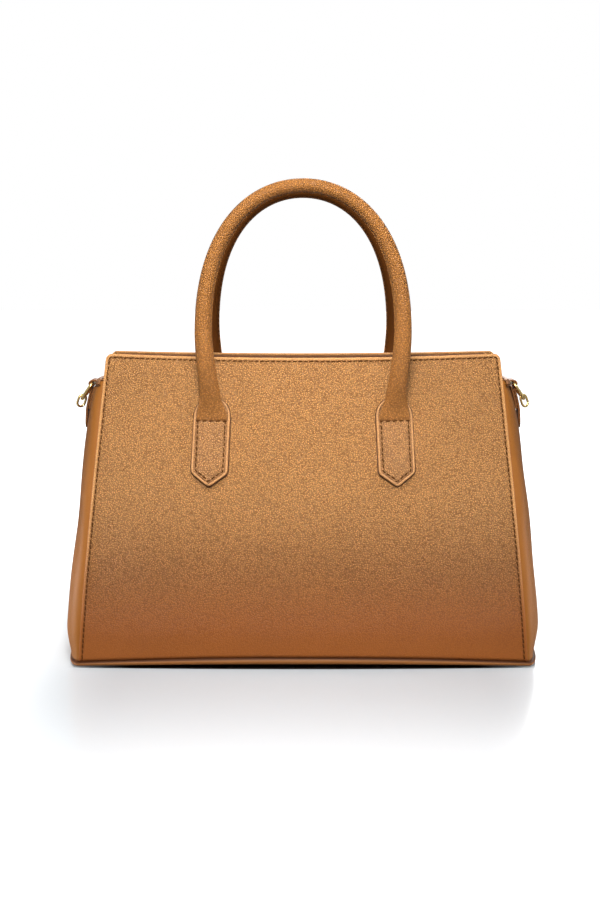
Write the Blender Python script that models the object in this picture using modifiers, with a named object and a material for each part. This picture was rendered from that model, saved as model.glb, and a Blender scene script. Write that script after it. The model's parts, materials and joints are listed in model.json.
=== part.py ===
"""Top-handle tote bag: pebbled panels, smooth bulging gussets, rolled base, two tubular handles.

Metres, +Z up. X runs along the width of the bag and the front faces -Y. The origin lies on the
floor under the middle of the bag. Each piece is one closed solid in its own named object.
"""
import math

import bmesh
import bpy
from mathutils import Matrix, Vector

for leftover in list(bpy.data.objects):
    bpy.data.objects.remove(leftover, do_unlink=True)

# Clearances
GAP = 0.0003
PIN_CLEARANCE = 0.0003
CUT_OVERRUN = 0.002
MERGE_DISTANCE = 0.00001
PROBE = 0.0001
ANGLE_PROBE = math.radians(0.5)

# Body, measured on the outer faces
BODY_HEIGHT = 0.2246
TOP_SAG = 0.0026
PANEL_BASE_HALF_WIDTH = 0.1631
PANEL_TOP_HALF_WIDTH = 0.1455
PANEL_CORNER_RADIUS = 0.0048
BASE_HALF_DEPTH = 0.0660
MOUTH_HALF_DEPTH = 0.0152
BASE_CROWN = 0.0040
TOP_CROWN = 0.0078
GUSSET_HEIGHT = 0.1962
GUSSET_BULGE = 0.0150
GUSSET_ROUNDNESS = 2.5

# Share of the panel's height, and share of the way from the mouth's depth to the base's depth
PANEL_DEPTH_SHARES = (
    (0.0, 1.0), (0.12, 1.005), (0.28, 0.92), (0.45, 0.755),
    (0.62, 0.553), (0.8, 0.306), (0.92, 0.127), (1.0, 0.0),
)
# Share of the gusset's height, and share of its full bulge
GUSSET_BULGE_SHARES = (
    (0.0, 0.86), (0.09, 1.0), (0.47, 0.91), (0.73, 0.81), (0.84, 0.74), (0.93, 0.58), (1.0, 0.25),
)

# Leathers, cloth and boards
PANEL_LEATHER = 0.0016
GUSSET_LEATHER = 0.0016
STIFFENER_THICKNESS = 0.0015
FACING_LEATHER = 0.0014
FACING_DROP = 0.0280
FACING_TOP_MARGIN = 0.0005
LINING_CLOTH = 0.0006
LINING_EASE = 0.0006
GUSSET_FLANGE = 0.0090
GUSSET_LAP = 0.0010
SEAM_MARGIN = 0.0030
SIDE_LINING_MARGIN = 0.0055
BINDING_WALL = 0.0008
BINDING_DROP = 0.0036

# Base
BASE_UNDERSIDE = 0.0034
BASE_LEATHER = 0.0018
BASE_RIM_HEIGHT = 0.0041
BASE_RIM_PROUD = 0.0010
BASE_RIM_WIDTH = 0.0056
BASE_ROLL_RADIUS = 0.0016
BOARD_THICKNESS = 0.0020

# Base feet
FOOT_X = 0.1180
FOOT_Y = 0.0420
FOOT_RADIUS = 0.0065
FOOT_FLAT_RADIUS = 0.0042
FOOT_EDGE = 0.0012
FOOT_SHANK_RADIUS = 0.0015
FOOT_HEAD_RADIUS = 0.0028
FOOT_HEAD_THICKNESS = 0.0006
WASHER_RADIUS = 0.0052
WASHER_THICKNESS = 0.0006

# Handles
TAB_X = 0.0672
TAB_SEAM_HEIGHT = 0.1781
HANDLE_BOW = 0.0044
HANDLE_HALF_SPAN = TAB_X + HANDLE_BOW
HANDLE_PLANE = 0.0485
HANDLE_TOP = 0.3452
HANDLE_SHOULDER_HEIGHT = 0.2420
HANDLE_SIDE_PULL = 0.0700
HANDLE_CROWN_PULL = 0.0380
HANDLE_FOOT_PULL = 0.0200
HANDLE_RISE = 0.0520
HANDLE_FLARE = 0.0300
HANDLE_RADIUS = 0.0060
HANDLE_TOP_HALF_WIDTH = 0.0049
FOOT_HALF_WIDTH = 0.0107
FOOT_HALF_THICKNESS = 0.00095
FOOT_CLEARANCE = 0.0006
HANDLE_WALL = 0.0012
HANDLE_SKIVED_WALL = 0.0007
HANDLE_CORE_START = 0.0260

# Handle tabs, in their own plane
TAB_BACKING = 0.0014
TAB_THICKNESS = 0.0036
TAB_HALF_WIDTH = 0.0128
TAB_SHOULDER_DROP = 0.0380
TAB_TIP_DROP = 0.0489
TAB_ROUND_RISE = 0.0045
TAB_TILT = math.radians(2.2)

# Ring tabs, rings and links
STRAP_LEATHER = 0.0017
STRAP_WIDTH = 0.0140
STRAP_SEWN_DROP = 0.0190
TONGUE_DROP = 0.0335
TONGUE_STANDOFF = 0.0012
TIP_BLUNT_SHARE = 0.25
RING_BAR_HEIGHT = 0.2010
RING_WIRE_RADIUS = 0.0012
RING_HALF_WIDTH = 0.0096
RING_DEPTH = 0.0145
RING_CORNER = 0.0022
RING_LEAN = math.radians(36)
LINK_WIRE_RADIUS = 0.0009
LINK_HALF_WIDTH = 0.0030
LINK_LENGTH = 0.0090
LINK_TURN = math.radians(34)
LINK_LEAN = math.radians(20)
LINK_PLAY = 0.0008

# Magnetic snap
SNAP_DROP = 0.0140
SNAP_RADIUS = 0.0070
SNAP_STUD_THICKNESS = 0.0016
SNAP_STUD_NOSE_RADIUS = 0.0028
SNAP_STUD_NOSE = 0.0012
SNAP_SOCKET_THICKNESS = 0.0026
SNAP_SOCKET_BORE_RADIUS = 0.0034
SNAP_SOCKET_BORE_DEPTH = 0.0016

# Shares of the panel's height at which every wall layer has a row, so that the layers stay parallel
WALL_ROW_SHARES = (0.0, 0.06, 0.16, 0.28, 0.40, 0.52, 0.63, 0.73, 0.81)
PANEL_UPPER_SHARES = (0.88, 0.94)

# Mesh counts
PANEL_COLUMNS = 12
CORNER_ROWS = 2
GUSSET_ARC_STEPS = 12
BINDING_SET_IN_STEPS = 2
LINING_COLUMNS = 8
HANDLE_SIDES = 12
HANDLE_FOOT_STEPS = 8
HANDLE_ARCH_STEPS = 9
TURNED_SIDES = 12
RING_BAR_STEPS = 3
RING_STEPS = 12
STRAP_FOLD_STEPS = 6
STRAP_LEG_STEPS = 5
STRAP_ACROSS_SHARES = (-1.0, -0.6, 0.0, 0.6, 1.0)
TIP_STEPS = 4

HALF_TURN = Matrix.Rotation(math.pi, 4, "Z")

bag = bpy.data.collections.new("tote_bag")
bpy.context.scene.collection.children.link(bag)
cutters = bpy.data.collections.new("cutters")
bpy.context.scene.collection.children.link(cutters)


# Materials
def make_material(name, colour, roughness, metallic=0.0):
    material = bpy.data.materials.new(name)
    material.use_nodes = True
    shader = material.node_tree.nodes["Principled BSDF"]
    shader.inputs["Base Color"].default_value = (*colour, 1.0)
    shader.inputs["Roughness"].default_value = roughness
    shader.inputs["Metallic"].default_value = metallic
    return material


PEBBLED_LEATHER = make_material("pebbled_leather", (0.50, 0.235, 0.085), 0.50)
SMOOTH_LEATHER = make_material("smooth_leather", (0.43, 0.20, 0.07), 0.45)
EDGE_LEATHER = make_material("edge_leather", (0.30, 0.13, 0.05), 0.50)
LINING = make_material("lining", (0.38, 0.27, 0.17), 0.85)
BOARD = make_material("board", (0.30, 0.24, 0.17), 0.90)
CORE = make_material("core", (0.55, 0.50, 0.42), 0.90)
GOLD = make_material("gold", (0.83, 0.58, 0.22), 0.22, 1.0)


# Smooth curves through hand-chosen shares
def smooth_share(pairs, at):
    """Value at a position, on a smooth curve through (position share, value share) pairs."""
    last = len(pairs) - 1
    at = min(max(at, pairs[0][0]), pairs[last][0])
    index = max(i for i in range(last) if pairs[i][0] <= at)
    start, end = pairs[index], pairs[index + 1]
    span = end[0] - start[0]

    def slope(i):
        before, after = pairs[max(i - 1, 0)], pairs[min(i + 1, last)]
        return (after[1] - before[1]) / (after[0] - before[0])

    t = (at - start[0]) / span
    rise = end[1] - start[1]
    first, second = slope(index) * span, slope(index + 1) * span
    return start[1] + first * t + (3 * rise - 2 * first - second) * t**2 + (first + second - 2 * rise) * t**3


def ease(t):
    """Smooth step from 0 to 1."""
    t = min(max(t, 0.0), 1.0)
    return t * t * (3 - 2 * t)


def mix(a, b, t):
    return a + (b - a) * t


def bezier(p0, p1, p2, p3, t):
    s = 1 - t
    return p0 * s**3 + p1 * (3 * s * s * t) + p2 * (3 * s * t * t) + p3 * t**3


# The bag's outer faces
SEAM_HEIGHT = BASE_UNDERSIDE + BASE_RIM_HEIGHT + GAP
GUSSET_TOP = SEAM_HEIGHT + GUSSET_HEIGHT


def height_share(z):
    return (z - SEAM_HEIGHT) / (BODY_HEIGHT - SEAM_HEIGHT)


def panel_half_width(z):
    return mix(PANEL_BASE_HALF_WIDTH, PANEL_TOP_HALF_WIDTH, height_share(z))


def panel_depth(x, z):
    """Distance of the panel's outer face from the bag's middle plane."""
    share = height_share(z)
    edge = mix(MOUTH_HALF_DEPTH, BASE_HALF_DEPTH, smooth_share(PANEL_DEPTH_SHARES, share))
    crown = mix(BASE_CROWN, TOP_CROWN, share)
    return edge + crown * (1 - (x / panel_half_width(z))**2)


def panel_slopes(x, z):
    across = (panel_depth(x + PROBE, z) - panel_depth(x - PROBE, z)) / (2 * PROBE)
    upward = (panel_depth(x, z + PROBE) - panel_depth(x, z - PROBE)) / (2 * PROBE)
    return across, upward


def front_skin(x, z, inset=0.0):
    """Point of the front panel's outer face, moved in by a thickness measured square to it."""
    across, upward = panel_slopes(x, z)
    stretch = math.sqrt(1 + across**2 + upward**2)
    return Vector((x, -panel_depth(x, z) + inset * stretch, z))


def front_frame(x, z, inset=0.0, tilt=0.0):
    """Matrix whose Z is the front panel's outward normal and whose Y runs up the panel."""
    across, upward = panel_slopes(x, z)
    normal = Vector((-across, -1, -upward)).normalized()
    side = Vector((1, 0, 0))
    side = (side - normal * side.dot(normal)).normalized()
    up = normal.cross(side)
    frame = Matrix((side, up, normal)).transposed().to_4x4()
    frame.translation = front_skin(x, z, inset)
    return frame @ Matrix.Rotation(tilt, 4, "Z")


def top_height(u):
    """The top edge sags between its corners; u runs from -1 to 1 across the panel."""
    return BODY_HEIGHT - TOP_SAG * (1 - u * u)


def gusset_bulge(z):
    return GUSSET_BULGE * smooth_share(GUSSET_BULGE_SHARES, (z - SEAM_HEIGHT) / GUSSET_HEIGHT)


def gusset_outline(z, angle):
    """Point of the right gusset's outer face; the angle runs from -90 degrees at the front to 90."""
    angle = min(max(angle, -math.pi / 2), math.pi / 2)
    fold_x = panel_half_width(z) - GUSSET_LAP
    depth = -front_skin(fold_x, z, PANEL_LEATHER + GAP).y
    power = 2 / GUSSET_ROUNDNESS
    x = fold_x + (gusset_bulge(z) + GUSSET_LAP) * max(math.cos(angle), 0.0)**power
    y = depth * math.copysign(abs(math.sin(angle))**power, angle)
    return Vector((x, y, z))


def gusset_arc(z, angle, inset=0.0):
    """The same point, moved in level by a thickness measured square to the leather."""
    along = gusset_outline(z, angle + ANGLE_PROBE) - gusset_outline(z, angle - ANGLE_PROBE)
    upward = gusset_outline(z + PROBE, angle) - gusset_outline(z - PROBE, angle)
    normal = along.cross(upward).normalized()
    level = Vector((normal.x, normal.y, 0))
    return gusset_outline(z, angle) - level * (inset / level.length_squared)


# Mesh builders
def add_object(name, mesh, material, group=bag):
    shape = bpy.data.objects.new(name, mesh)
    if material is not None and not mesh.materials:
        mesh.materials.append(material)
    group.objects.link(shape)
    return shape


def grid_mesh(name, rows):
    """Open surface through rows of points; it faces the side that shows rows rising, left to right."""
    mesh = bpy.data.meshes.new(name)
    width = len(rows[0])
    faces = []
    for r in range(len(rows) - 1):
        for c in range(width - 1):
            corner = r * width + c
            faces.append((corner, corner + 1, corner + width + 1, corner + width))
    mesh.from_pydata([point for row in rows for point in row], [], faces)
    mesh.shade_smooth()
    return mesh


def thicken(shape, thickness):
    """Gives an open surface a wall on the side that it faces away from."""
    wall = shape.modifiers.new("wall", "SOLIDIFY")
    wall.thickness = thickness
    wall.offset = -1.0
    wall.use_even_offset = True
    return shape


def loft_mesh(name, rings, closed=False):
    """Closed rings of points joined by faces, capped at both ends unless the loft is closed."""
    mesh = bpy.data.meshes.new(name)
    count = len(rings[0])
    faces = []
    for r in range(len(rings) if closed else len(rings) - 1):
        here, there = r * count, (r + 1) % len(rings) * count
        for c in range(count):
            d = (c + 1) % count
            faces.append((here + c, here + d, there + d, there + c))
    if not closed:
        faces.append(tuple(reversed(range(count))))
        faces.append(tuple(range((len(rings) - 1) * count, len(rings) * count)))
    mesh.from_pydata([point for ring in rings for point in ring], [], faces)
    mesh.shade_smooth()
    mesh.set_sharp_from_angle(angle=math.radians(40))
    return mesh


def turned(name, profile, material):
    """Turned piece; the profile of (radius, height) runs down its outer side."""
    mesh = bpy.data.meshes.new(name)
    points = [(radius, 0, height) for radius, height in profile]
    ring = profile[0][0] > 0
    edges = [(i, i + 1) for i in range(len(points) - 1)]
    if ring:
        edges.append((len(points) - 1, 0))
    mesh.from_pydata(points, edges, [])
    shape = add_object(name, mesh, material)
    screw = shape.modifiers.new("turn", "SCREW")
    screw.angle = 2 * math.pi
    screw.steps = TURNED_SIDES
    screw.render_steps = TURNED_SIDES
    screw.use_merge_vertices = True
    screw.merge_threshold = MERGE_DISTANCE
    return shape


def outline_mesh(name, outline, bottom, top):
    """Flat plate: a filled 2D outline between two heights, made a mesh with its caps welded."""
    curve = bpy.data.curves.new(name, "CURVE")
    curve.dimensions = "2D"
    curve.fill_mode = "BOTH"
    curve.extrude = (top - bottom) / 2
    spline = curve.splines.new("POLY")
    spline.points.add(len(outline) - 1)
    for point, place in zip(spline.points, outline):
        point.co = (place[0], place[1], 0, 1)
    spline.use_cyclic_u = True
    guide = bpy.data.objects.new(name, curve)
    bag.objects.link(guide)
    bpy.context.view_layer.update()
    evaluated = guide.evaluated_get(bpy.context.evaluated_depsgraph_get())
    mesh = bpy.data.meshes.new_from_object(evaluated)
    bpy.data.objects.remove(guide, do_unlink=True)
    work = bmesh.new()
    work.from_mesh(mesh)
    bmesh.ops.remove_doubles(work, verts=work.verts, dist=MERGE_DISTANCE)
    bmesh.ops.translate(work, verts=work.verts, vec=(0, 0, (top + bottom) / 2))
    bmesh.ops.recalc_face_normals(work, faces=work.faces)
    work.to_mesh(mesh)
    work.free()
    return mesh


def hide_cutter(shape):
    shape.hide_render = True
    shape.display_type = "WIRE"
    return shape


def combine(shape, other, operation):
    step = shape.modifiers.new(operation.lower(), "BOOLEAN")
    step.operation = operation
    step.solver = "EXACT"
    step.object = other
    return shape


def cut_cylinder(name, radius, bottom, top, x, y):
    bpy.ops.mesh.primitive_cylinder_add(
        vertices=TURNED_SIDES, radius=radius, depth=top - bottom, location=(x, y, (top + bottom) / 2)
    )
    cutter = bpy.context.active_object
    cutter.name = name
    for group in list(cutter.users_collection):
        group.objects.unlink(cutter)
    cutters.objects.link(cutter)
    return hide_cutter(cutter)


def opposite(shape, name):
    """Copy of a piece for the other side of the bag, half a turn round the vertical."""
    bpy.context.view_layer.update()
    copy = shape.copy()
    copy.name = name
    copy.matrix_world = HALF_TURN @ shape.matrix_world
    bag.objects.link(copy)
    return copy


# Front and back walls: leather, stiffener, facing and lining
def wall_row(height_at, side_margin, inset, columns):
    """Row of points across the front panel; height_at gives the height at a share u across."""
    row = []
    for c in range(columns + 1):
        u = 2 * c / columns - 1
        z = height_at(u)
        row.append(front_skin(u * (panel_half_width(z) - side_margin), z, inset))
    return row


def share_height(share):
    return lambda u: mix(SEAM_HEIGHT, top_height(u), share)


def build_panels():
    corner_share = PANEL_CORNER_RADIUS / (BODY_HEIGHT - SEAM_HEIGHT)
    shares = WALL_ROW_SHARES + PANEL_UPPER_SHARES
    grid = [wall_row(share_height(share), 0.0, 0.0, PANEL_COLUMNS) for share in shares]
    for step in range(CORNER_ROWS + 1):
        angle = math.pi / 2 * step / CORNER_ROWS
        share = 1 - corner_share * (1 - math.sin(angle))
        margin = PANEL_CORNER_RADIUS * (1 - math.cos(angle))
        grid.append(wall_row(share_height(share), margin, 0.0, PANEL_COLUMNS))
    panel = add_object("front_panel", grid_mesh("panel", grid), PEBBLED_LEATHER)
    thicken(panel, PANEL_LEATHER)
    opposite(panel, "back_panel")


FACING_INSET = PANEL_LEATHER + GAP
LINING_INSET = PANEL_LEATHER + GAP + GUSSET_LEATHER + LINING_EASE
WALL_DEPTH = LINING_INSET + LINING_CLOTH


def facing_height(share):
    """Height at a share of the facing's drop; share 1 is its foot."""
    return lambda u: top_height(u) - FACING_TOP_MARGIN - FACING_DROP * share


def build_wall_layers():
    flange_margin = GUSSET_FLANGE + GAP
    heights = [share_height(share) for share in WALL_ROW_SHARES]
    heights.append(lambda u: facing_height(1.0)(u) - LINING_EASE)
    facing_heights = [facing_height(share) for share in (1.0, 0.5, 0.0)]
    layers = (
        ("stiffener", BOARD, STIFFENER_THICKNESS, heights, flange_margin, FACING_INSET),
        ("lining", LINING, LINING_CLOTH, heights, SEAM_MARGIN, LINING_INSET),
        ("facing", SMOOTH_LEATHER, FACING_LEATHER, facing_heights, flange_margin, FACING_INSET),
    )
    for name, material, thickness, rows, margin, inset in layers:
        grid = [wall_row(height_at, margin, inset, LINING_COLUMNS) for height_at in rows]
        layer = add_object(f"front_{name}", grid_mesh(name, grid), material)
        thicken(layer, thickness)
        opposite(layer, f"back_{name}")


# Gussets, their linings and the bindings of their top edges
def gusset_angles(steps, reach=math.pi / 2):
    return [mix(-reach, reach, step / steps) for step in range(steps + 1)]


def gusset_row(z):
    """Section of the right gusset, from its front flange round the bulge to its back flange."""
    width = panel_half_width(z)
    flange = front_skin(width - GUSSET_FLANGE, z, PANEL_LEATHER + GAP)
    arc = [gusset_arc(z, angle) for angle in gusset_angles(GUSSET_ARC_STEPS)]
    return [flange] + arc + [Vector((flange.x, -flange.y, z))]


def build_gussets():
    heights = [mix(SEAM_HEIGHT, BODY_HEIGHT, share) for share in WALL_ROW_SHARES]
    fold = GUSSET_TOP - BINDING_DROP
    middle = (heights[-1] + fold) / 2
    rows = [gusset_row(z) for z in heights + [middle, fold, GUSSET_TOP]]
    gusset = add_object("right_gusset", grid_mesh("gusset", rows), SMOOTH_LEATHER)
    thicken(gusset, GUSSET_LEATHER)
    opposite(gusset, "left_gusset")

    inset = GUSSET_LEATHER + LINING_EASE
    rows = []
    for z in heights + [middle, fold - LINING_EASE]:
        front = -front_skin(panel_half_width(z), z, SIDE_LINING_MARGIN).y
        depth = gusset_outline(z, math.pi / 2).y
        reach = math.asin(min(front / depth, 1.0)**(GUSSET_ROUNDNESS / 2))
        rows.append([gusset_arc(z, angle, inset) for angle in gusset_angles(LINING_COLUMNS, reach)])
    lining = add_object("right_lining", grid_mesh("side_lining", rows), LINING)
    thicken(lining, LINING_CLOTH)
    opposite(lining, "left_lining")


def build_bindings():
    """Folded strip over a gusset's top edge: a channel swept along the gusset's section."""
    low = GUSSET_TOP - BINDING_DROP
    rings = []
    for angle in gusset_angles(GUSSET_ARC_STEPS)[BINDING_SET_IN_STEPS:-BINDING_SET_IN_STEPS]:
        rings.append([
            gusset_arc(low, angle, -GAP - BINDING_WALL),
            gusset_arc(low, angle, -GAP),
            lift(gusset_arc(GUSSET_TOP, angle, -GAP), GAP),
            lift(gusset_arc(GUSSET_TOP, angle, GUSSET_LEATHER + GAP), GAP),
            gusset_arc(low, angle, GUSSET_LEATHER + GAP),
            gusset_arc(low, angle, GUSSET_LEATHER + GAP + BINDING_WALL),
            lift(gusset_arc(GUSSET_TOP, angle, GUSSET_LEATHER + GAP + BINDING_WALL), GAP + BINDING_WALL),
            lift(gusset_arc(GUSSET_TOP, angle, -GAP - BINDING_WALL), GAP + BINDING_WALL),
        ])
    binding = add_object("right_gusset_binding", loft_mesh("binding", rings), EDGE_LEATHER)
    opposite(binding, "left_gusset_binding")


def lift(point, rise):
    return Vector((point.x, point.y, point.z + rise))


# Base: leather tray with a rolled rim, board, lining, feet and washers
def footprint(inset):
    """Outline of the body at the base seam, moved in by a distance."""
    fold_x = PANEL_BASE_HALF_WIDTH - GUSSET_LAP
    bulge = gusset_bulge(SEAM_HEIGHT) + GUSSET_LAP - inset
    depth = panel_depth(fold_x, SEAM_HEIGHT) - inset
    power = 2 / GUSSET_ROUNDNESS
    points = []
    for turn in (1, -1):
        for c in range(1, PANEL_COLUMNS):
            x = fold_x * (2 * c / PANEL_COLUMNS - 1)
            points.append((turn * x, -turn * (panel_depth(x, SEAM_HEIGHT) - inset)))
        for angle in gusset_angles(GUSSET_ARC_STEPS):
            x = fold_x + bulge * max(math.cos(angle), 0.0)**power
            y = depth * math.copysign(abs(math.sin(angle))**power, angle)
            points.append((turn * x, turn * y))
    return points


def foot_places():
    for side, x in (("left", -FOOT_X), ("right", FOOT_X)):
        for end, y in (("front", -FOOT_Y), ("back", FOOT_Y)):
            yield f"{end}_{side}", x, y


TRAY_FLOOR = BASE_UNDERSIDE + BASE_LEATHER
RIM_TOP = BASE_UNDERSIDE + BASE_RIM_HEIGHT
BOARD_BOTTOM = TRAY_FLOOR + GAP
BOARD_TOP = BOARD_BOTTOM + BOARD_THICKNESS
WASHER_BOTTOM = BOARD_TOP + GAP
WASHER_TOP = WASHER_BOTTOM + WASHER_THICKNESS
FOOT_HEAD_BOTTOM = WASHER_TOP + GAP
FOOT_HEAD_TOP = FOOT_HEAD_BOTTOM + FOOT_HEAD_THICKNESS
BASE_LINING_BOTTOM = FOOT_HEAD_TOP + GAP


def build_base():
    tray_mesh = outline_mesh("tray", footprint(-BASE_RIM_PROUD), BASE_UNDERSIDE, RIM_TOP)
    tray = add_object("base_panel", tray_mesh, SMOOTH_LEATHER)
    roll = tray.modifiers.new("roll", "BEVEL")
    roll.width = BASE_ROLL_RADIUS
    roll.segments = 2
    roll.limit_method = "ANGLE"
    roll.angle_limit = math.radians(60)
    pocket_mesh = outline_mesh("pocket", footprint(BASE_RIM_WIDTH), TRAY_FLOOR, RIM_TOP + CUT_OVERRUN)
    pocket = add_object("tray_pocket", pocket_mesh, None, cutters)
    combine(tray, hide_cutter(pocket), "DIFFERENCE")

    board_outline = footprint(BASE_RIM_WIDTH + GAP)
    board = add_object("base_board", outline_mesh("board", board_outline, BOARD_BOTTOM, BOARD_TOP), BOARD)
    lining_outline = footprint(max(BASE_RIM_WIDTH, WALL_DEPTH) + GAP)
    lining_top = BASE_LINING_BOTTOM + LINING_CLOTH
    floor_mesh = outline_mesh("floor_lining", lining_outline, BASE_LINING_BOTTOM, lining_top)
    add_object("base_lining", floor_mesh, LINING)

    hole_radius = FOOT_SHANK_RADIUS + PIN_CLEARANCE
    foot_top = BASE_UNDERSIDE - GAP
    for place, x, y in foot_places():
        hole = cut_cylinder(f"{place}_foot_hole", hole_radius, BASE_UNDERSIDE - CUT_OVERRUN,
                            BOARD_TOP + CUT_OVERRUN, x, y)
        combine(tray, hole, "DIFFERENCE")
        combine(board, hole, "DIFFERENCE")
        foot = turned(f"{place}_foot", (
            (0.0, FOOT_HEAD_TOP), (FOOT_HEAD_RADIUS, FOOT_HEAD_TOP), (FOOT_HEAD_RADIUS, FOOT_HEAD_BOTTOM),
            (FOOT_SHANK_RADIUS, FOOT_HEAD_BOTTOM), (FOOT_SHANK_RADIUS, foot_top), (FOOT_RADIUS, foot_top),
            (FOOT_RADIUS, FOOT_EDGE), (FOOT_FLAT_RADIUS, 0.0), (0.0, 0.0),
        ), GOLD)
        foot.location = (x, y, 0)
        washer = turned(f"{place}_foot_washer", (
            (WASHER_RADIUS, WASHER_TOP), (WASHER_RADIUS, WASHER_BOTTOM),
            (hole_radius, WASHER_BOTTOM), (hole_radius, WASHER_TOP),
        ), GOLD)
        washer.location = (x, y, 0)


# Handle tabs: a backing that stands up behind the handle's foot, and a thicker field below it
def tab_outline(rounded):
    shoulder, tip = -TAB_SHOULDER_DROP, -TAB_TIP_DROP
    points = [(-TAB_HALF_WIDTH, shoulder), (0.0, tip), (TAB_HALF_WIDTH, shoulder)]
    if not rounded:
        return points + [(TAB_HALF_WIDTH, 0.0), (-TAB_HALF_WIDTH, 0.0)]
    for step in range(TURNED_SIDES // 2 + 1):
        angle = math.pi * step / (TURNED_SIDES // 2)
        points.append((TAB_HALF_WIDTH * math.cos(angle), TAB_ROUND_RISE + TAB_HALF_WIDTH * math.sin(angle)))
    return points


def tab_frame(side):
    """Plane of a front tab, just clear of the bulging panel; side is -1 for left and 1 for right."""
    frame = front_frame(side * TAB_X, TAB_SEAM_HEIGHT - TAB_TIP_DROP / 2, tilt=side * TAB_TILT)
    up = frame.col[1].xyz
    frame.translation += up * (TAB_TIP_DROP / 2)
    proud = -GAP
    for x, y in tab_outline(True):
        corner = frame @ Vector((x, y, 0))
        across, upward = panel_slopes(corner.x, corner.z)
        depth = panel_depth(corner.x, corner.z) + corner.y
        proud = max(proud, depth / math.sqrt(1 + across**2 + upward**2))
    normal = frame.col[2].xyz
    frame.translation += normal * (proud + GAP)
    return frame


def build_tabs():
    for side, word, across in ((-1, "left", "right"), (1, "right", "left")):
        backing_mesh = outline_mesh("tab_backing", tab_outline(True), 0.0, TAB_BACKING)
        tab = add_object(f"front_{word}_tab", backing_mesh, PEBBLED_LEATHER)
        tab.matrix_world = tab_frame(side)
        field_mesh = outline_mesh("tab_field", tab_outline(False), 0.0, TAB_THICKNESS)
        field = add_object(f"{word}_tab_field", field_mesh, None, cutters)
        field.matrix_world = tab.matrix_world
        combine(tab, hide_cutter(field), "UNION")
        bpy.context.view_layer.update()
        joined = bpy.data.meshes.new_from_object(tab.evaluated_get(bpy.context.evaluated_depsgraph_get()))
        tab.modifiers.clear()
        tab.data = joined
        bpy.data.objects.remove(field, do_unlink=True)
        opposite(tab, f"back_{across}_tab")


# Handles: a rolled cover round a core, hinged where its flat foot is sewn down
def handle_hinge():
    """Place of the front handle's hinge line, at the front edge of the tab's field."""
    frame = tab_frame(1)
    return frame @ Vector((0, 0, TAB_THICKNESS))


HINGE = handle_hinge()
HINGE_ORIGIN = Vector((0, HINGE.y, HINGE.z))


def handle_stations():
    """Centre line of the right half of the front handle: point, half width, half thickness, rise."""
    foot = Vector((HINGE.x, HINGE.z + FOOT_CLEARANCE))
    shoulder = Vector((HANDLE_HALF_SPAN, HANDLE_SHOULDER_HEIGHT))
    crown = Vector((0, HANDLE_TOP))
    up = Vector((0, 1))
    places = []
    pull = up * HANDLE_FOOT_PULL
    for step in range(HANDLE_FOOT_STEPS):
        places.append(bezier(foot, foot + pull, shoulder - pull, shoulder, step / HANDLE_FOOT_STEPS))
    for step in range(HANDLE_ARCH_STEPS + 1):
        t = step / HANDLE_ARCH_STEPS
        side = Vector((HANDLE_CROWN_PULL, 0))
        places.append(bezier(shoulder, shoulder + up * HANDLE_SIDE_PULL, crown + side, crown, t))
    stations = []
    for place in places:
        rise = place.y - foot.y
        flare = ease(rise / HANDLE_FLARE)
        arch = ease((place.y - HANDLE_SHOULDER_HEIGHT) / (HANDLE_TOP - HANDLE_SHOULDER_HEIGHT))
        foot_width = mix(FOOT_HALF_WIDTH, HANDLE_RADIUS, flare)
        width = mix(foot_width, HANDLE_TOP_HALF_WIDTH, arch)
        thickness = mix(FOOT_HALF_THICKNESS, HANDLE_RADIUS, flare)
        depth = mix(HINGE.y + FOOT_HALF_THICKNESS, -HANDLE_PLANE, ease(rise / HANDLE_RISE))
        stations.append((Vector((place.x, depth, place.y)), width, thickness, rise))
    return stations


def mirrored(stations):
    left = [(Vector((-p.x, p.y, p.z)), w, t, r) for p, w, t, r in stations[:-1]]
    return left + list(reversed(stations))


def handle_ring(stations, index, inset):
    """Section square to the centre line: an oval, wide across the handle and thin at its foot."""
    point, width, thickness, rise = stations[index]
    before = stations[max(index - 1, 0)][0]
    after = stations[min(index + 1, len(stations) - 1)][0]
    along = (after - before).normalized()
    if index in (0, len(stations) - 1):
        along = Vector((0, 0, 1 if index == 0 else -1))
    outward = Vector((0, -1, 0))
    outward = (outward - along * outward.dot(along)).normalized()
    across = outward.cross(along)
    ring = []
    for step in range(HANDLE_SIDES):
        angle = 2 * math.pi * step / HANDLE_SIDES
        sideways = across * ((width - inset) * math.cos(angle))
        forwards = outward * ((thickness - inset) * math.sin(angle))
        ring.append(point + sideways + forwards - HINGE_ORIGIN)
    return ring


def wall_at(rise):
    return mix(HANDLE_SKIVED_WALL, HANDLE_WALL, ease(rise / HANDLE_FLARE))


def build_handles():
    stations = mirrored(handle_stations())
    indices = range(len(stations))
    outer = [handle_ring(stations, i, 0.0) for i in indices]
    inner = [handle_ring(stations, i, wall_at(stations[i][3])) for i in indices]
    cover = add_object("front_handle_cover", loft_mesh("handle_cover", outer + inner[::-1], closed=True),
                       PEBBLED_LEATHER)
    cover.location = HINGE_ORIGIN
    core_rings = [
        handle_ring(stations, i, wall_at(stations[i][3]) + GAP)
        for i in indices if stations[i][3] >= HANDLE_CORE_START
    ]
    core = add_object("front_handle_core", loft_mesh("handle_core", core_rings), CORE)
    core.parent = cover
    back_cover = opposite(cover, "back_handle_cover")
    back_core = core.copy()
    back_core.name = "back_handle_core"
    bag.objects.link(back_core)
    back_core.parent = back_cover


# Ring tabs, rings and links on the gussets
def gusset_face(z, proud=0.0):
    """The right gusset's outermost X at a height, or that of a layer lying proud of it."""
    return gusset_arc(z, 0.0, -proud).x


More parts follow.
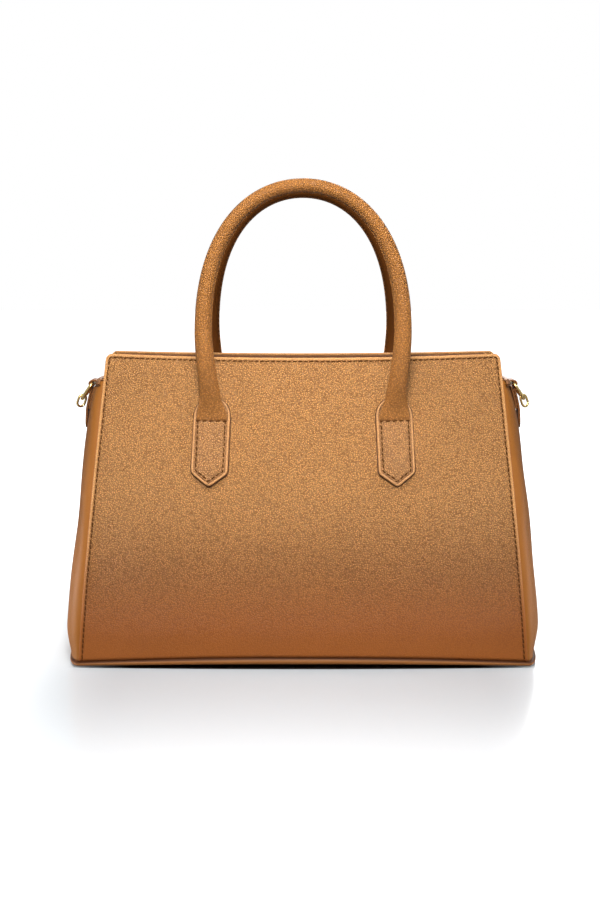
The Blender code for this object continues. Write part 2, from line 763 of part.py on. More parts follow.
def bar_place():
    """The bar stands clear of the binding's lower edge by the folded strap."""
    strap_face = gusset_face(GUSSET_TOP - BINDING_DROP, BINDING_WALL + 2 * GAP + STRAP_LEATHER)
    return Vector((strap_face + PIN_CLEARANCE + RING_WIRE_RADIUS, 0, RING_BAR_HEIGHT))


def build_ring_tabs():
    """Strap folded over the ring's bar: a sewn inner leg, and an outer leg that ends in a tongue."""
    bar = bar_place()
    fold = RING_WIRE_RADIUS + PIN_CLEARANCE
    sewn_low = RING_BAR_HEIGHT - STRAP_SEWN_DROP
    sewn_high = GUSSET_TOP - BINDING_DROP - STRAP_LEATHER
    half = STRAP_WIDTH / 2
    path = []
    for step in range(STRAP_LEG_STEPS + 1):
        z = mix(sewn_low, sewn_high, step / STRAP_LEG_STEPS)
        path.append((gusset_face(z, GAP + STRAP_LEATHER), z, half))
    for step in range(STRAP_FOLD_STEPS + 1):
        angle = math.pi - math.pi * step / STRAP_FOLD_STEPS
        path.append((bar.x + fold * math.cos(angle), bar.z + fold * math.sin(angle), half))
    for step in range(1, STRAP_LEG_STEPS):
        z = mix(sewn_high, sewn_low, step / STRAP_LEG_STEPS)
        path.append((gusset_face(z, 2 * GAP + STRAP_LEATHER), z, half))
    tip_low = RING_BAR_HEIGHT - TONGUE_DROP
    hang_start = gusset_face(sewn_low, 2 * GAP + STRAP_LEATHER)
    hang_end = gusset_face(tip_low, TONGUE_STANDOFF)
    path.append((hang_start, sewn_low, half))
    for step in range(TIP_STEPS + 1):
        angle = math.pi / 2 * step / TIP_STEPS
        z = tip_low + half * (1 - math.sin(angle))
        x = mix(hang_end, hang_start, (z - tip_low) / (sewn_low - tip_low))
        path.append((x, z, half * max(math.cos(angle), TIP_BLUNT_SHARE)))
    rows = []
    for x, z, reach in path:
        rows.append([Vector((x, -reach * share, z)) - bar for share in STRAP_ACROSS_SHARES])
    strap = add_object("right_ring_tab", grid_mesh("ring_tab", rows), SMOOTH_LEATHER)
    wall = thicken(strap, STRAP_LEATHER).modifiers["wall"]
    wall.offset = 1.0
    strap.location = bar
    opposite(strap, "left_ring_tab")


def wire_loop(name, points, radius, material):
    curve = bpy.data.curves.new(name, "CURVE")
    curve.dimensions = "3D"
    curve.bevel_depth = radius
    curve.bevel_resolution = 2
    spline = curve.splines.new("POLY")
    spline.points.add(len(points) - 1)
    for point, place in zip(spline.points, points):
        point.co = (*place, 1)
    spline.use_cyclic_u = True
    curve.materials.append(material)
    loop = bpy.data.objects.new(name, curve)
    bag.objects.link(loop)
    return loop


def ring_points():
    """D outline in the YZ plane: a straight bar on the Y axis, rounded ends and an arc hanging below."""
    bar_half = RING_HALF_WIDTH - RING_CORNER
    points = []
    for step in range(RING_BAR_STEPS + 1):
        points.append((0.0, mix(-bar_half, bar_half, step / RING_BAR_STEPS), 0.0))
    for step in range(RING_STEPS + 1):
        angle = math.pi * step / RING_STEPS
        y = RING_HALF_WIDTH * math.cos(angle)
        z = -RING_CORNER - (RING_DEPTH - RING_CORNER) * math.sin(angle)
        points.append((0.0, y, z))
    return points


def link_points():
    """Oval link in the XZ plane, hung from the origin: its top wire passes just above the ring's wire."""
    top = RING_WIRE_RADIUS + LINK_PLAY + LINK_WIRE_RADIUS
    straight = LINK_LENGTH - 2 * LINK_HALF_WIDTH
    points = []
    for end, centre in ((1, top - LINK_HALF_WIDTH), (-1, top - LINK_HALF_WIDTH - straight)):
        for step in range(RING_STEPS // 2 + 1):
            angle = math.pi * step / (RING_STEPS // 2)
            x = end * LINK_HALF_WIDTH * math.cos(angle)
            points.append((x, 0.0, centre + end * LINK_HALF_WIDTH * math.sin(angle)))
    return points


def build_rings():
    ring = wire_loop("right_d_ring", ring_points(), RING_WIRE_RADIUS, GOLD)
    lean = Matrix.Rotation(-RING_LEAN, 4, "Y")
    ring.matrix_world = Matrix.Translation(bar_place()) @ lean
    hang = ring.matrix_world @ Vector((0, 0, -RING_DEPTH))
    link = wire_loop("right_link", link_points(), LINK_WIRE_RADIUS, GOLD)
    link.matrix_world = (Matrix.Translation(hang) @ Matrix.Rotation(-LINK_LEAN, 4, "Y")
                         @ Matrix.Rotation(LINK_TURN, 4, "Z"))
    opposite(ring, "left_d_ring")
    opposite(link, "left_link")


# Magnetic snap on the facings
def build_snap():
    inset = FACING_INSET + FACING_LEATHER + GAP
    height = top_height(0.0) - SNAP_DROP
    seat = front_frame(0.0, height, inset) @ Matrix.Rotation(math.pi, 4, "X")
    nose_top = SNAP_STUD_THICKNESS + SNAP_STUD_NOSE
    stud = turned("snap_stud", (
        (0.0, nose_top), (SNAP_STUD_NOSE_RADIUS, nose_top),
        (SNAP_STUD_NOSE_RADIUS, SNAP_STUD_THICKNESS), (SNAP_RADIUS, SNAP_STUD_THICKNESS),
        (SNAP_RADIUS, 0.0), (0.0, 0.0),
    ), GOLD)
    stud.matrix_world = seat
    bore_floor = SNAP_SOCKET_THICKNESS - SNAP_SOCKET_BORE_DEPTH
    socket = turned("snap_socket", (
        (0.0, bore_floor), (SNAP_SOCKET_BORE_RADIUS, bore_floor),
        (SNAP_SOCKET_BORE_RADIUS, SNAP_SOCKET_THICKNESS), (SNAP_RADIUS, SNAP_SOCKET_THICKNESS),
        (SNAP_RADIUS, 0.0), (0.0, 0.0),
    ), GOLD)
    socket.matrix_world = HALF_TURN @ seat


build_panels()
build_wall_layers()
build_gussets()
build_bindings()
build_base()
build_tabs()
build_handles()
build_ring_tabs()
build_rings()
build_snap()
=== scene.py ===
import json
import math

import bmesh
import bpy
from mathutils import Matrix, Vector
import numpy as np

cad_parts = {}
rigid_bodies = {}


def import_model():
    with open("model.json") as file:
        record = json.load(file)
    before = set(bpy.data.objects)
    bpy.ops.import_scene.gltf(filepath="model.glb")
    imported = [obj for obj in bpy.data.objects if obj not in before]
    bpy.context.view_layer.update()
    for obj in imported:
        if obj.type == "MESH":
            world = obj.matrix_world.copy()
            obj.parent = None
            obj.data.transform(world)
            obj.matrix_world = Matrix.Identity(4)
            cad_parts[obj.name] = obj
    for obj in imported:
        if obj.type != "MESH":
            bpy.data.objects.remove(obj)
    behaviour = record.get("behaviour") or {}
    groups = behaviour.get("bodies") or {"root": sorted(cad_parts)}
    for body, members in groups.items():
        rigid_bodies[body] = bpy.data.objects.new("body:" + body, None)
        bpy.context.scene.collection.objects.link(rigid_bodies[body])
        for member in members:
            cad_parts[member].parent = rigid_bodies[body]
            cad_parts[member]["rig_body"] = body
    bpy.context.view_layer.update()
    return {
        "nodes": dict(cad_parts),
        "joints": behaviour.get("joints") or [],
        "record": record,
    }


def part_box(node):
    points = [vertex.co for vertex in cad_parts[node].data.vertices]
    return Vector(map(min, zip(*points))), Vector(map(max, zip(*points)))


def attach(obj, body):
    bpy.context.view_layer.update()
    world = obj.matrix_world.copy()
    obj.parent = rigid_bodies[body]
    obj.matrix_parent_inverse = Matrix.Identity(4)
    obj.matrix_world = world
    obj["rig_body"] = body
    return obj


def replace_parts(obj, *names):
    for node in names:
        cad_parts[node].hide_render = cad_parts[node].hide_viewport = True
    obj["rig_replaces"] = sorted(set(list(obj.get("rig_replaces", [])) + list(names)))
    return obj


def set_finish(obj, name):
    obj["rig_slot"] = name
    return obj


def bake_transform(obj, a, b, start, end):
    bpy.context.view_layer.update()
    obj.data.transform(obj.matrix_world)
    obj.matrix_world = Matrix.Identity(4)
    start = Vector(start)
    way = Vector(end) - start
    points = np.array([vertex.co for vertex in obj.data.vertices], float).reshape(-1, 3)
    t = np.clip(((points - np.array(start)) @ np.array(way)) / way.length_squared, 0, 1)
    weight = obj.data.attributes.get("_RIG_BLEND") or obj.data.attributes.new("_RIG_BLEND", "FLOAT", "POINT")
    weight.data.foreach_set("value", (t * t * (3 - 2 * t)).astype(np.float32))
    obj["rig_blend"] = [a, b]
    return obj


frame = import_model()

# Body, on the outer faces, in metres: +X right, -Y front, +Z up
BODY_HEIGHT = 0.2246
TOP_SAG = 0.0026
PANEL_BASE_HALF_WIDTH = 0.1631
PANEL_TOP_HALF_WIDTH = 0.1455
PANEL_CORNER_RADIUS = 0.0048
BASE_HALF_DEPTH = 0.0660
MOUTH_HALF_DEPTH = 0.0152
BASE_CROWN = 0.0040
TOP_CROWN = 0.0078
SEAM_HEIGHT = 0.0078
GUSSET_HEIGHT = 0.1962
GUSSET_BULGE = 0.0150
GUSSET_ROUNDNESS = 2.5
GUSSET_LAP = 0.0010
GUSSET_FLANGE = 0.0080
GAP = 0.0003
PROBE = 0.0001

# Share of the height, and share of the way from the mouth's depth to the base's depth
PANEL_DEPTH_SHARES = (
    (0.0, 1.0), (0.12, 1.005), (0.28, 0.92), (0.45, 0.755),
    (0.62, 0.553), (0.8, 0.306), (0.92, 0.127), (1.0, 0.0),
)
GUSSET_BULGE_SHARES = (
    (0.0, 0.66), (0.035, 0.84), (0.09, 1.0), (0.47, 0.91),
    (0.73, 0.81), (0.84, 0.74), (0.93, 0.60), (1.0, 0.38),
)

# The base seam droops towards the corners, and the gusset's top edge dips at its middle
SEAM_MIDDLE_HEIGHT = 0.0080
SEAM_DROOP = 0.0041
SEAM_SIDE_RISE = 0.0012
GUSSET_TOP_AT_PANEL = 0.2050
GUSSET_TOP_DIP = 0.0006

# Leathers and cloth
PANEL_LEATHER = 0.0016
GUSSET_LEATHER = 0.0016
FACING_LEATHER = 0.0014
FACING_DROP = 0.0280
FACING_TOP_MARGIN = 0.0014
FACING_SIDE_MARGIN = 0.0062
LINING_CLOTH = 0.0006
LINING_MARGIN = 0.0035
WALL_INSET = 0.0041
BINDING_WALL = 0.0008
BINDING_DROP = 0.0046

# Turned edges and stitches
STITCH_INSET = 0.0029
EDGE_SWELL = 0.00030
EDGE_SWELL_PLACE = 0.0014
EDGE_SWELL_WIDTH = 0.0008
GROOVE_DEPTH = 0.00045
GROOVE_WIDTH = 0.00042
CREASE_WIDTH = 0.00075
SEAM_TUCK = 0.0012
GUSSET_TUCK = 0.0004
SEAM_TUCK_RISE = 0.0024
EDGE_OFFSETS = (
    0.0, 0.0004, 0.0009, 0.0014, 0.0019, 0.0023, 0.0026,
    0.0029, 0.0032, 0.0036, 0.0043, 0.0056, 0.0080, 0.0115,
)
SEAM_OFFSETS = (0.0, 0.0005, 0.0011, 0.0018, 0.0027, 0.0042, 0.0068, 0.0105)
STITCH_SIZES = {
    "Pitch": 0.0040, "Length": 0.0027, "Radius": 0.00045, "Rise": 0.00042, "Sink": 0.00025, "Slant": 0.00022,
}

# Base
BASE_LOW_MIDDLE = 0.0036
BASE_LOW_DROOP = 0.0024
BASE_UNDERSIDE = 0.0034
TRAY_FLOOR = 0.0052
TRAY_LINING_TOP = 0.0104
TRAY_LINING_UNDERSIDE = 0.0098
TRAY_LINING_INSET = 0.0062
RIM_WIDTH = 0.0056
# Outward offset from the outline, and share of the roll's height below the seam
BASE_ROLL = (
    (-0.0030, -0.15), (-0.0012, -0.06), (-0.0004, 0.06), (0.0004, 0.16), (0.0009, 0.34), (0.0010, 0.55),
    (0.0008, 0.76), (0.0003, 0.92), (-0.0005, 1.0), (-0.0018, 1.0),
)
# Radius and height of a foot's outline
FOOT_PROFILE = (
    (0.0, 0.0090), (0.0027, 0.0090), (0.0028, 0.0087), (0.0028, 0.0084), (0.0015, 0.0083),
    (0.0015, 0.0031), (0.0058, 0.0031), (0.0064, 0.0028), (0.0065, 0.0022), (0.0063, 0.0015),
    (0.0056, 0.0007), (0.0042, 0.0001), (0.0040, 0.0), (0.0, 0.0),
)

# Handles and tabs
TAB_X = 0.0672
TAB_SEAM_HEIGHT = 0.1781
HANDLE_HALF_SPAN = 0.0716
HANDLE_PLANE = 0.0485
HANDLE_TOP = 0.3452
HANDLE_SHOULDER_HEIGHT = 0.2420
HANDLE_SIDE_PULL = 0.0700
HANDLE_CROWN_PULL = 0.0380
HANDLE_FOOT_PULL = 0.0200
HANDLE_RISE = 0.0520
HANDLE_FLARE = 0.0300
HANDLE_RADIUS = 0.0060
# Rise above the hinge, and half width of the tube there
HANDLE_WIDTHS = (
    (0.0, 0.0111), (0.0040, 0.0107), (0.0072, 0.0099), (0.0144, 0.0080), (0.0195, 0.0071),
    (0.0260, 0.0066), (0.0360, 0.0064), (0.0640, 0.0060), (0.1000, 0.0057), (0.1671, 0.0049),
)
FOOT_HALF_THICKNESS = 0.00095
FOOT_TUCK = 0.0012
HANDLE_BEND = 0.0240
SEAM_RIDGE = 0.00055
SEAM_RIDGE_ANGLE = 0.085
SEAM_STITCH_ANGLE = 0.36
MOUTH_SIDE_MARGIN = 0.15
TAB_BACKING = 0.0014
TAB_THICKNESS = 0.0036
TAB_HALF_WIDTH = 0.0133
TAB_SHOULDER_DROP = 0.0390
TAB_TIP_DROP = 0.0491
TAB_SLOPE = math.atan2(TAB_TIP_DROP - TAB_SHOULDER_DROP, TAB_HALF_WIDTH)
TAB_ROUND_RISE = 0.0042
TAB_TILT = math.radians(2.2)
TAB_BORDER = 0.0017
TAB_STITCH_INSET = 0.0034
TAB_LEDGE = 0.0006
TAB_CORNER_PASSES = 14
TAB_INSETS = (0.0003, 0.0008, 0.0013, 0.0018, 0.0022, 0.0026, 0.0030, 0.0033, 0.0036, 0.0040, 0.0045)

# Ring tabs, rings and links
STRAP_LEATHER = 0.0015
STRAP_WIDTH = 0.0140
STRAP_SEWN_DROP = 0.0190
STRAP_SEWN_TOP_DROP = 0.0024
TONGUE_DROP = 0.0335
TONGUE_STANDOFF = 0.0005
STRAP_TOP_REACH = 0.0016
STRAP_TOP_RISE = 0.0017
STRAP_TOP_SQUARENESS = 0.6
RING_WIRE_RADIUS = 0.0012
RING_HALF_WIDTH = 0.0096
RING_DEPTH = 0.0145
RING_CORNER = 0.0022
RING_LEAN = math.radians(36)
LINK_WIRE_RADIUS = 0.0009
LINK_HALF_WIDTH = 0.0030
LINK_LENGTH = 0.0090
LINK_TURN = math.radians(34)
LINK_LEAN = math.radians(20)
LINK_PLAY = 0.0008
PIN_CLEARANCE = 0.0003

# Camera, worked out from the photograph's perspective
CAMERA_PLACE = (-0.00225, -1.0620, 0.3000)
CAMERA_PITCH = math.radians(8.03)
CAMERA_LENS_MM = 56.68
CAMERA_SENSOR_MM = 36.0

HALF_TURN = Matrix.Rotation(math.pi, 4, "Z")
JOINT_PLACES = {joint["name"]: Vector(joint["pos_m"]) for joint in frame["joints"]}
HINGE = JOINT_PLACES["front_handle_fold"]
RING_BAR = JOINT_PLACES["right_ring_swing"]
RING_HANG = JOINT_PLACES["right_link_swing"]


# Curves
def smooth_share(pairs, at):
    """Value at a position, on a smooth curve through (position, value) pairs."""
    last = len(pairs) - 1
    at = min(max(at, pairs[0][0]), pairs[last][0])
    index = max(i for i in range(last) if pairs[i][0] <= at)
    start, end = pairs[index], pairs[index + 1]
    span, rise = end[0] - start[0], end[1] - start[1]

    def slope(i):
        before, after = pairs[max(i - 1, 0)], pairs[min(i + 1, last)]
        return (after[1] - before[1]) / (after[0] - before[0])

    t = (at - start[0]) / span
    first, second = slope(index) * span, slope(index + 1) * span
    return start[1] + first * t + (3 * rise - 2 * first - second) * t**2 + (first + second - 2 * rise) * t**3


def ease(t):
    t = min(max(t, 0.0), 1.0)
    return t * t * (3 - 2 * t)


def mix(a, b, t):
    return a + (b - a) * t


def hump(distance, width):
    return math.exp(-((distance / width) ** 2))


def spread(low, high, steps):
    return [mix(low, high, i / steps) for i in range(steps + 1)]


def round_trip(sides):
    return spread(0, 2 * math.pi, sides)[:-1]


def bezier(p0, p1, p2, p3, t):
    s = 1 - t
    return p0 * s**3 + p1 * (3 * s * s * t) + p2 * (3 * s * t * t) + p3 * t**3


# The bag's outer faces
def height_share(z):
    return (z - SEAM_HEIGHT) / (BODY_HEIGHT - SEAM_HEIGHT)


def panel_half_width(z):
    return mix(PANEL_BASE_HALF_WIDTH, PANEL_TOP_HALF_WIDTH, height_share(z))


def panel_depth(x, z):
    share = height_share(z)
    edge = mix(MOUTH_HALF_DEPTH, BASE_HALF_DEPTH, smooth_share(PANEL_DEPTH_SHARES, share))
    return edge + mix(BASE_CROWN, TOP_CROWN, share) * (1 - (x / panel_half_width(z)) ** 2)


def panel_slopes(x, z):
    across = (panel_depth(x + PROBE, z) - panel_depth(x - PROBE, z)) / (2 * PROBE)
    upward = (panel_depth(x, z + PROBE) - panel_depth(x, z - PROBE)) / (2 * PROBE)
    return across, upward


def front_skin(x, z, inset=0.0):
    across, upward = panel_slopes(x, z)
    return Vector((x, -panel_depth(x, z) + inset * math.sqrt(1 + across**2 + upward**2), z))


def front_normal(x, z):
    across, upward = panel_slopes(x, z)
    return Vector((-across, -1, -upward)).normalized()


def top_height(x):
    return BODY_HEIGHT - TOP_SAG * max(1 - (x / PANEL_TOP_HALF_WIDTH) ** 2, 0.0)


def droop(x):
    """Share of the base's droop at a place across the bag."""
    return min((x / PANEL_BASE_HALF_WIDTH) ** 2, 1.0)


def seam_height(x):
    return SEAM_MIDDLE_HEIGHT - SEAM_DROOP * droop(x)


def sway(x, z):
    """The slow unevenness of a filled leather wall."""
    first = math.sin(31.0 * x + 17.0 * z + 0.6) * math.sin(23.0 * z - 9.0 * x + 1.1)
    second = math.sin(58.0 * x - 34.0 * z + 2.0) * math.sin(47.0 * z + 0.4)
    return 0.00042 * first + 0.00020 * second


def gusset_bulge(z):
    return GUSSET_BULGE * smooth_share(GUSSET_BULGE_SHARES, (z - SEAM_HEIGHT) / GUSSET_HEIGHT)


def bulged(fold_x, depth, bulge, angle):
    """Point on the gusset's rounded outline, level with the floor."""
    power = 2 / GUSSET_ROUNDNESS
    x = fold_x + (bulge + GUSSET_LAP) * max(math.cos(angle), 0.0) ** power
    return x, depth * math.copysign(abs(math.sin(angle)) ** power, angle)


def gusset_outline(z, angle):
    """Point of the right gusset's outer face; the angle runs from -90 degrees at the front to 90."""
    angle = min(max(angle, -math.pi / 2), math.pi / 2)
    fold_x = panel_half_width(z) - GUSSET_LAP
    depth = -front_skin(fold_x, z, PANEL_LEATHER + GAP).y
    return Vector((*bulged(fold_x, depth, gusset_bulge(z), angle), z))


def gusset_normal(z, angle):
    step = math.radians(0.5)
    along = gusset_outline(z, angle + step) - gusset_outline(z, angle - step)
    upward = gusset_outline(z + PROBE, angle) - gusset_outline(z - PROBE, angle)
    return along.cross(upward).normalized()


def gusset_arc(z, angle, inset=0.0):
    normal = gusset_normal(z, angle)
    level = Vector((normal.x, normal.y, 0))
    return gusset_outline(z, angle) - level * (inset / level.length_squared)


def gusset_seam_height(angle):
    return seam_height(PANEL_BASE_HALF_WIDTH) + SEAM_SIDE_RISE * math.cos(angle) ** 2


def gusset_top_height(angle):
    return GUSSET_TOP_AT_PANEL - GUSSET_TOP_DIP * math.cos(angle) ** 2


# Mesh makers
def link_in(name, data):
    item = bpy.data.objects.new(name, data)
    bpy.context.scene.collection.objects.link(item)
    return item


def dress(piece, body, slot, nodes=()):
    if body is not None:
        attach(piece, body)
    if nodes:
        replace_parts(piece, *nodes)
    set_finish(piece, slot)
    return piece


def add_piece(name, points, faces, finish, body, slot, nodes=()):
    """A mesh piece that rides on a body and stands for CAD nodes."""
    mesh = bpy.data.meshes.new(name)
    mesh.from_pydata(points, [], faces)
    mesh.validate()
    mesh.shade_smooth()
    mesh.materials.append(finish)
    return dress(link_in(name, mesh), body, slot, nodes)


def mark(piece, name, values):
    """Stores a value at each point, for the material to read."""
    piece.data.attributes.new(name, "FLOAT", "POINT").data.foreach_set("value", values)


def grid_faces(rows, columns, closed=False):
    faces = []
    for r in range(rows - 1):
        for c in range(columns if closed else columns - 1):
            d = (c + 1) % columns
            faces.append((r * columns + c, r * columns + d, (r + 1) * columns + d, (r + 1) * columns + c))
    return faces


def sheet(name, rows, finish, body, slot, nodes=(), away_from=Vector()):
    """Open surface through rows of points, facing away from a place."""
    points = [point for row in rows for point in row]
    faces = grid_faces(len(rows), len(rows[0]))
    a, b, c = (points[i] for i in faces[len(faces) // 2][:3])
    if (b - a).cross(c - b).dot(a - away_from) < 0:
        faces = [face[::-1] for face in faces]
    return add_piece(name, points, faces, finish, body, slot, nodes)


def thicken(piece, thickness, levels=1, edge_finish=None):
    """Gives an open surface a wall on its inner side, with rounded edges."""
    wall = piece.modifiers.new("wall", "SOLIDIFY")
    wall.thickness = thickness
    wall.offset = -1.0
    wall.use_even_offset = True
    if edge_finish is not None:
        piece.data.materials.append(edge_finish)
        wall.material_offset_rim = 1
    if levels:
        soften = piece.modifiers.new("soften", "SUBSURF")
        soften.levels = levels
        soften.render_levels = levels


def lofted(name, rings, finish, body, slot, nodes=(), caps=True, looped=False, inlay=None):
    """Closed rings of points joined by faces; an inlay is a second finish and the columns that take it."""
    count = len(rings[0])
    last = (len(rings) - 1) * count
    faces = grid_faces(len(rings), count, closed=True)
    if looped:
        faces += [(last + c, last + (c + 1) % count, (c + 1) % count, c) for c in range(count)]
    elif caps:
        faces += [tuple(reversed(range(count))), tuple(range(last, last + count))]
    piece = add_piece(name, [point for ring in rings for point in ring], faces, finish, body, slot, nodes)
    if inlay is not None:
        piece.data.materials.append(inlay[0])
        for face in piece.data.polygons:
            if face.index < last and face.index % count in inlay[1]:
                face.material_index = 1
    # Doubled points are merged, and every face is turned outwards
    work = bmesh.new()
    work.from_mesh(piece.data)
    bmesh.ops.remove_doubles(work, verts=work.verts, dist=0.000005)
    bmesh.ops.recalc_face_normals(work, faces=work.faces)
    work.to_mesh(piece.data)
    work.free()
    piece.data.shade_smooth()
    return piece


def turned(name, profile, place, nodes, sides=32):
    """Turned metal piece on the bag, from a (radius, height) profile set in place by a matrix."""
    rings = [
        [place @ Vector((radius * math.cos(a), radius * math.sin(a), height)) for a in round_trip(sides)]
        for radius, height in profile
    ]
    lofted(name, rings, GOLD_FINISH, "bag", "gold", nodes)


def wire(name, line, plane_normal, radius, body, node, sides=14):
    """Round metal wire along a closed flat line."""
    rings = []
    for i, point in enumerate(line):
        side = (line[(i + 1) % len(line)] - line[i - 1]).normalized().cross(plane_normal).normalized()
        rings.append([
            point + side * (radius * math.cos(a)) + plane_normal * (radius * math.sin(a))
            for a in round_trip(sides)
        ])
    return lofted(name, rings, GOLD_FINISH, body, "gold", (node,), looped=True)


def opposite(piece, name, body, *nodes):
    """Copy of a piece for the other side of the bag, half a turn round the vertical."""
    copy = piece.copy()
    copy.data = piece.data.copy()
    copy.data.transform(HALF_TURN)
    copy.name = name
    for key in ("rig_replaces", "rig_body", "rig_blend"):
        if key in copy:
            del copy[key]
    copy.parent = None
    copy.matrix_world = Matrix.Identity(4)
    bpy.context.scene.collection.objects.link(copy)
    return dress(copy, body, piece["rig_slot"], nodes)


# Node makers
def feed(tree, node, sockets):
    """Gives a node's inputs their values, or the outputs that feed them."""
    for key, value in sockets.items():
        if isinstance(value, bpy.types.NodeSocket):
            tree.links.new(value, node.inputs[key])
        else:
            node.inputs[key].default_value = value


def place_node(tree, kind, sockets=None, **settings):
    node = tree.nodes.new(kind)
    for key, value in settings.items():
        setattr(node, key, value)
    feed(tree, node, sockets or {})
    return node


def math_node(tree, operation, first, second=0.0):
    return place_node(tree, "ShaderNodeMath", {0: first, 1: second}, operation=operation).outputs[0]


def times(tree, first, second):
    return math_node(tree, "MULTIPLY", first, second)


def plus(tree, first, second):
    return math_node(tree, "ADD", first, second)


def minus(tree, first, second):
    return math_node(tree, "SUBTRACT", first, second)


def vector_node(tree, operation, first, second=(0.0, 0.0, 0.0)):
    key = "Scale" if operation == "SCALE" else 1
    return place_node(tree, "ShaderNodeVectorMath", {0: first, key: second}, operation=operation).outputs[0]


def blend_node(tree, factor, first, second):
    return place_node(tree, "ShaderNodeMix", {0: factor, 6: first, 7: second}, data_type="RGBA").outputs[2]


def shade_range(tree, value, low, high, out_low=0.0, out_high=1.0):
    return place_node(tree, "ShaderNodeMapRange", {
        "Value": value, "From Min": low, "From Max": high, "To Min": out_low, "To Max": out_high,
    }, interpolation_type="SMOOTHSTEP").outputs["Result"]


def noise(tree, place, scale, detail, roughness=0.5, output="Fac"):
    return place_node(tree, "ShaderNodeTexNoise", {
        "Vector": place, "Scale": scale, "Detail": detail, "Roughness": roughness,
    }).outputs[output]


def cells(tree, place, scale, feature="DISTANCE_TO_EDGE"):
    sockets = {"Vector": place, "Scale": scale}
    return place_node(tree, "ShaderNodeTexVoronoi", sockets, feature=feature).outputs


def marked(tree, name):
    return place_node(tree, "ShaderNodeAttribute", attribute_name=name).outputs["Fac"]


def shaded(colour, gain=1.0):
    return (*(channel * gain for channel in colour), 1.0)


def new_group(name, inputs, outputs):
    """Shader group whose inputs are floats, colours, or vectors where no value is given."""
    kinds = {float: "NodeSocketFloat", tuple: "NodeSocketColor", type(None): "NodeSocketVector"}
    tree = bpy.data.node_groups.new(name, "ShaderNodeTree")
    for socket_name, value in inputs.items():
        socket = tree.interface.new_socket(socket_name, in_out="INPUT", socket_type=kinds[type(value)])
        if value is not None:
            socket.default_value = value
    for socket_name in outputs:
        kind = "NodeSocketColor" if socket_name == "Colour" else "NodeSocketFloat"
        tree.interface.new_socket(socket_name, in_out="OUTPUT", socket_type=kind)
    return tree, tree.nodes.new("NodeGroupInput").outputs, tree.nodes.new("NodeGroupOutput")


# Materials
def pebble_group():
    """Grain of tumbled leather: rounded pebbles of mixed size with fine creases between them."""
    tree, given, result = new_group("pebble_grain", {
        "Place": None, "Pebbles per metre": 600.0, "Waviness": 0.00050, "Crease width": 0.17,
    }, ("Height", "Crease", "Pebble highlight and tone"))
    warp = noise(tree, given["Place"], 900.0, 2.0, output="Color")
    warp = vector_node(tree, "SUBTRACT", warp, (0.5, 0.5, 0.5))
    place = vector_node(tree, "ADD", given["Place"], vector_node(tree, "SCALE", warp, given["Waviness"]))
    edges = cells(tree, place, given["Pebbles per metre"])["Distance"]
    pebbles = cells(tree, place, given["Pebbles per metre"], "F1")
    rounded = shade_range(tree, edges, 0.0, given["Crease width"])
    dome = shade_range(tree, pebbles["Distance"], 0.0, 0.62, 1.0, 0.0)
    open_share = shade_range(tree, noise(tree, given["Place"], 210.0, 1.0), 0.22, 0.56, 0.75, 1.0)
    valley = times(tree, minus(tree, 1.0, rounded), open_share)
    random_tone = place_node(tree, "ShaderNodeSeparateColor", {0: pebbles["Color"]}).outputs[0]
    # Crease marks the valleys that take dye and painted shade; the pebble output lightens pebble tops as a
    # painted highlight, mixed with a little random tone
    feed(tree, result, {
        "Height": minus(tree, times(tree, dome, 0.85), times(tree, valley, 0.8)),
        "Crease": valley,
        "Pebble highlight and tone": plus(tree, times(tree, dome, 0.85), times(tree, random_tone, 0.15)),
    })
    return tree


def smooth_grain_group():
    """Fine pores and hair-thin creases of smooth calf leather."""
    inputs = {"Place": None, "Pores per metre": 1500.0}
    tree, given, result = new_group("smooth_grain", inputs, ("Height", "Crease"))
    pores = cells(tree, given["Place"], given["Pores per metre"])["Distance"]
    lines = shade_range(tree, pores, 0.0, 0.16)
    skin = noise(tree, given["Place"], 420.0, 5.0, 0.65)
    feed(tree, result, {
        "Height": plus(tree, times(tree, lines, 0.5), skin), "Crease": minus(tree, 1.0, lines),
    })
    return tree


def tone_group():
    """Colour of finished leather: creases hold darker dye and painted shade, seams get painted shade, and dye
    drifts slowly.
    """
    tree, given, result = new_group("dyed_tone", {
        "Place": None, "Colour": (0.5, 0.24, 0.09, 1.0), "Crease": 0.0, "Crease dye and shade": 0.5,
        "Seam": 0.0, "Drift": 0.12,
    }, ("Colour", "Roughness"))
    slow = noise(tree, given["Place"], 26.0, 4.0, 0.55)
    fine = noise(tree, given["Place"], 240.0, 3.0)
    cloud = plus(tree, times(tree, slow, 0.8), times(tree, fine, 0.2))
    drift = times(tree, minus(tree, cloud, 0.5), given["Drift"])
    dyed = vector_node(tree, "SCALE", given["Colour"], plus(tree, 1.0, times(tree, drift, 2.0)))
    # Painted shade: creased places are darkened partly as dye and partly for the shade in the creases; seams
    # are darkened near black for the shade in the joins
    deep = vector_node(tree, "MULTIPLY", dyed, (0.52, 0.42, 0.34))
    seam_shade_colour = vector_node(tree, "MULTIPLY", dyed, (0.20, 0.14, 0.10))
    creased = times(tree, given["Crease"], given["Crease dye and shade"])
    rough = plus(tree, 0.46, times(tree, cloud, 0.14))
    feed(tree, result, {
        "Colour": blend_node(tree, given["Seam"], blend_node(tree, creased, dyed, deep), seam_shade_colour),
        "Roughness": plus(tree, rough, times(tree, creased, 0.15)),
    })
    return tree


GRAIN = pebble_group()
CALF = smooth_grain_group()
TONE = tone_group()


def new_finish(name):
    finish = bpy.data.materials.new(name)
    finish.use_nodes = True
    tree = finish.node_tree
    place = place_node(tree, "ShaderNodeTexCoord").outputs["Object"]
    return finish, tree, tree.nodes["Principled BSDF"], place


def bump(tree, shader, height, distance, strength=1.0):
    node = place_node(tree, "ShaderNodeBump", {"Height": height, "Distance": distance, "Strength": strength})
    feed(tree, shader, {"Normal": node.outputs["Normal"]})


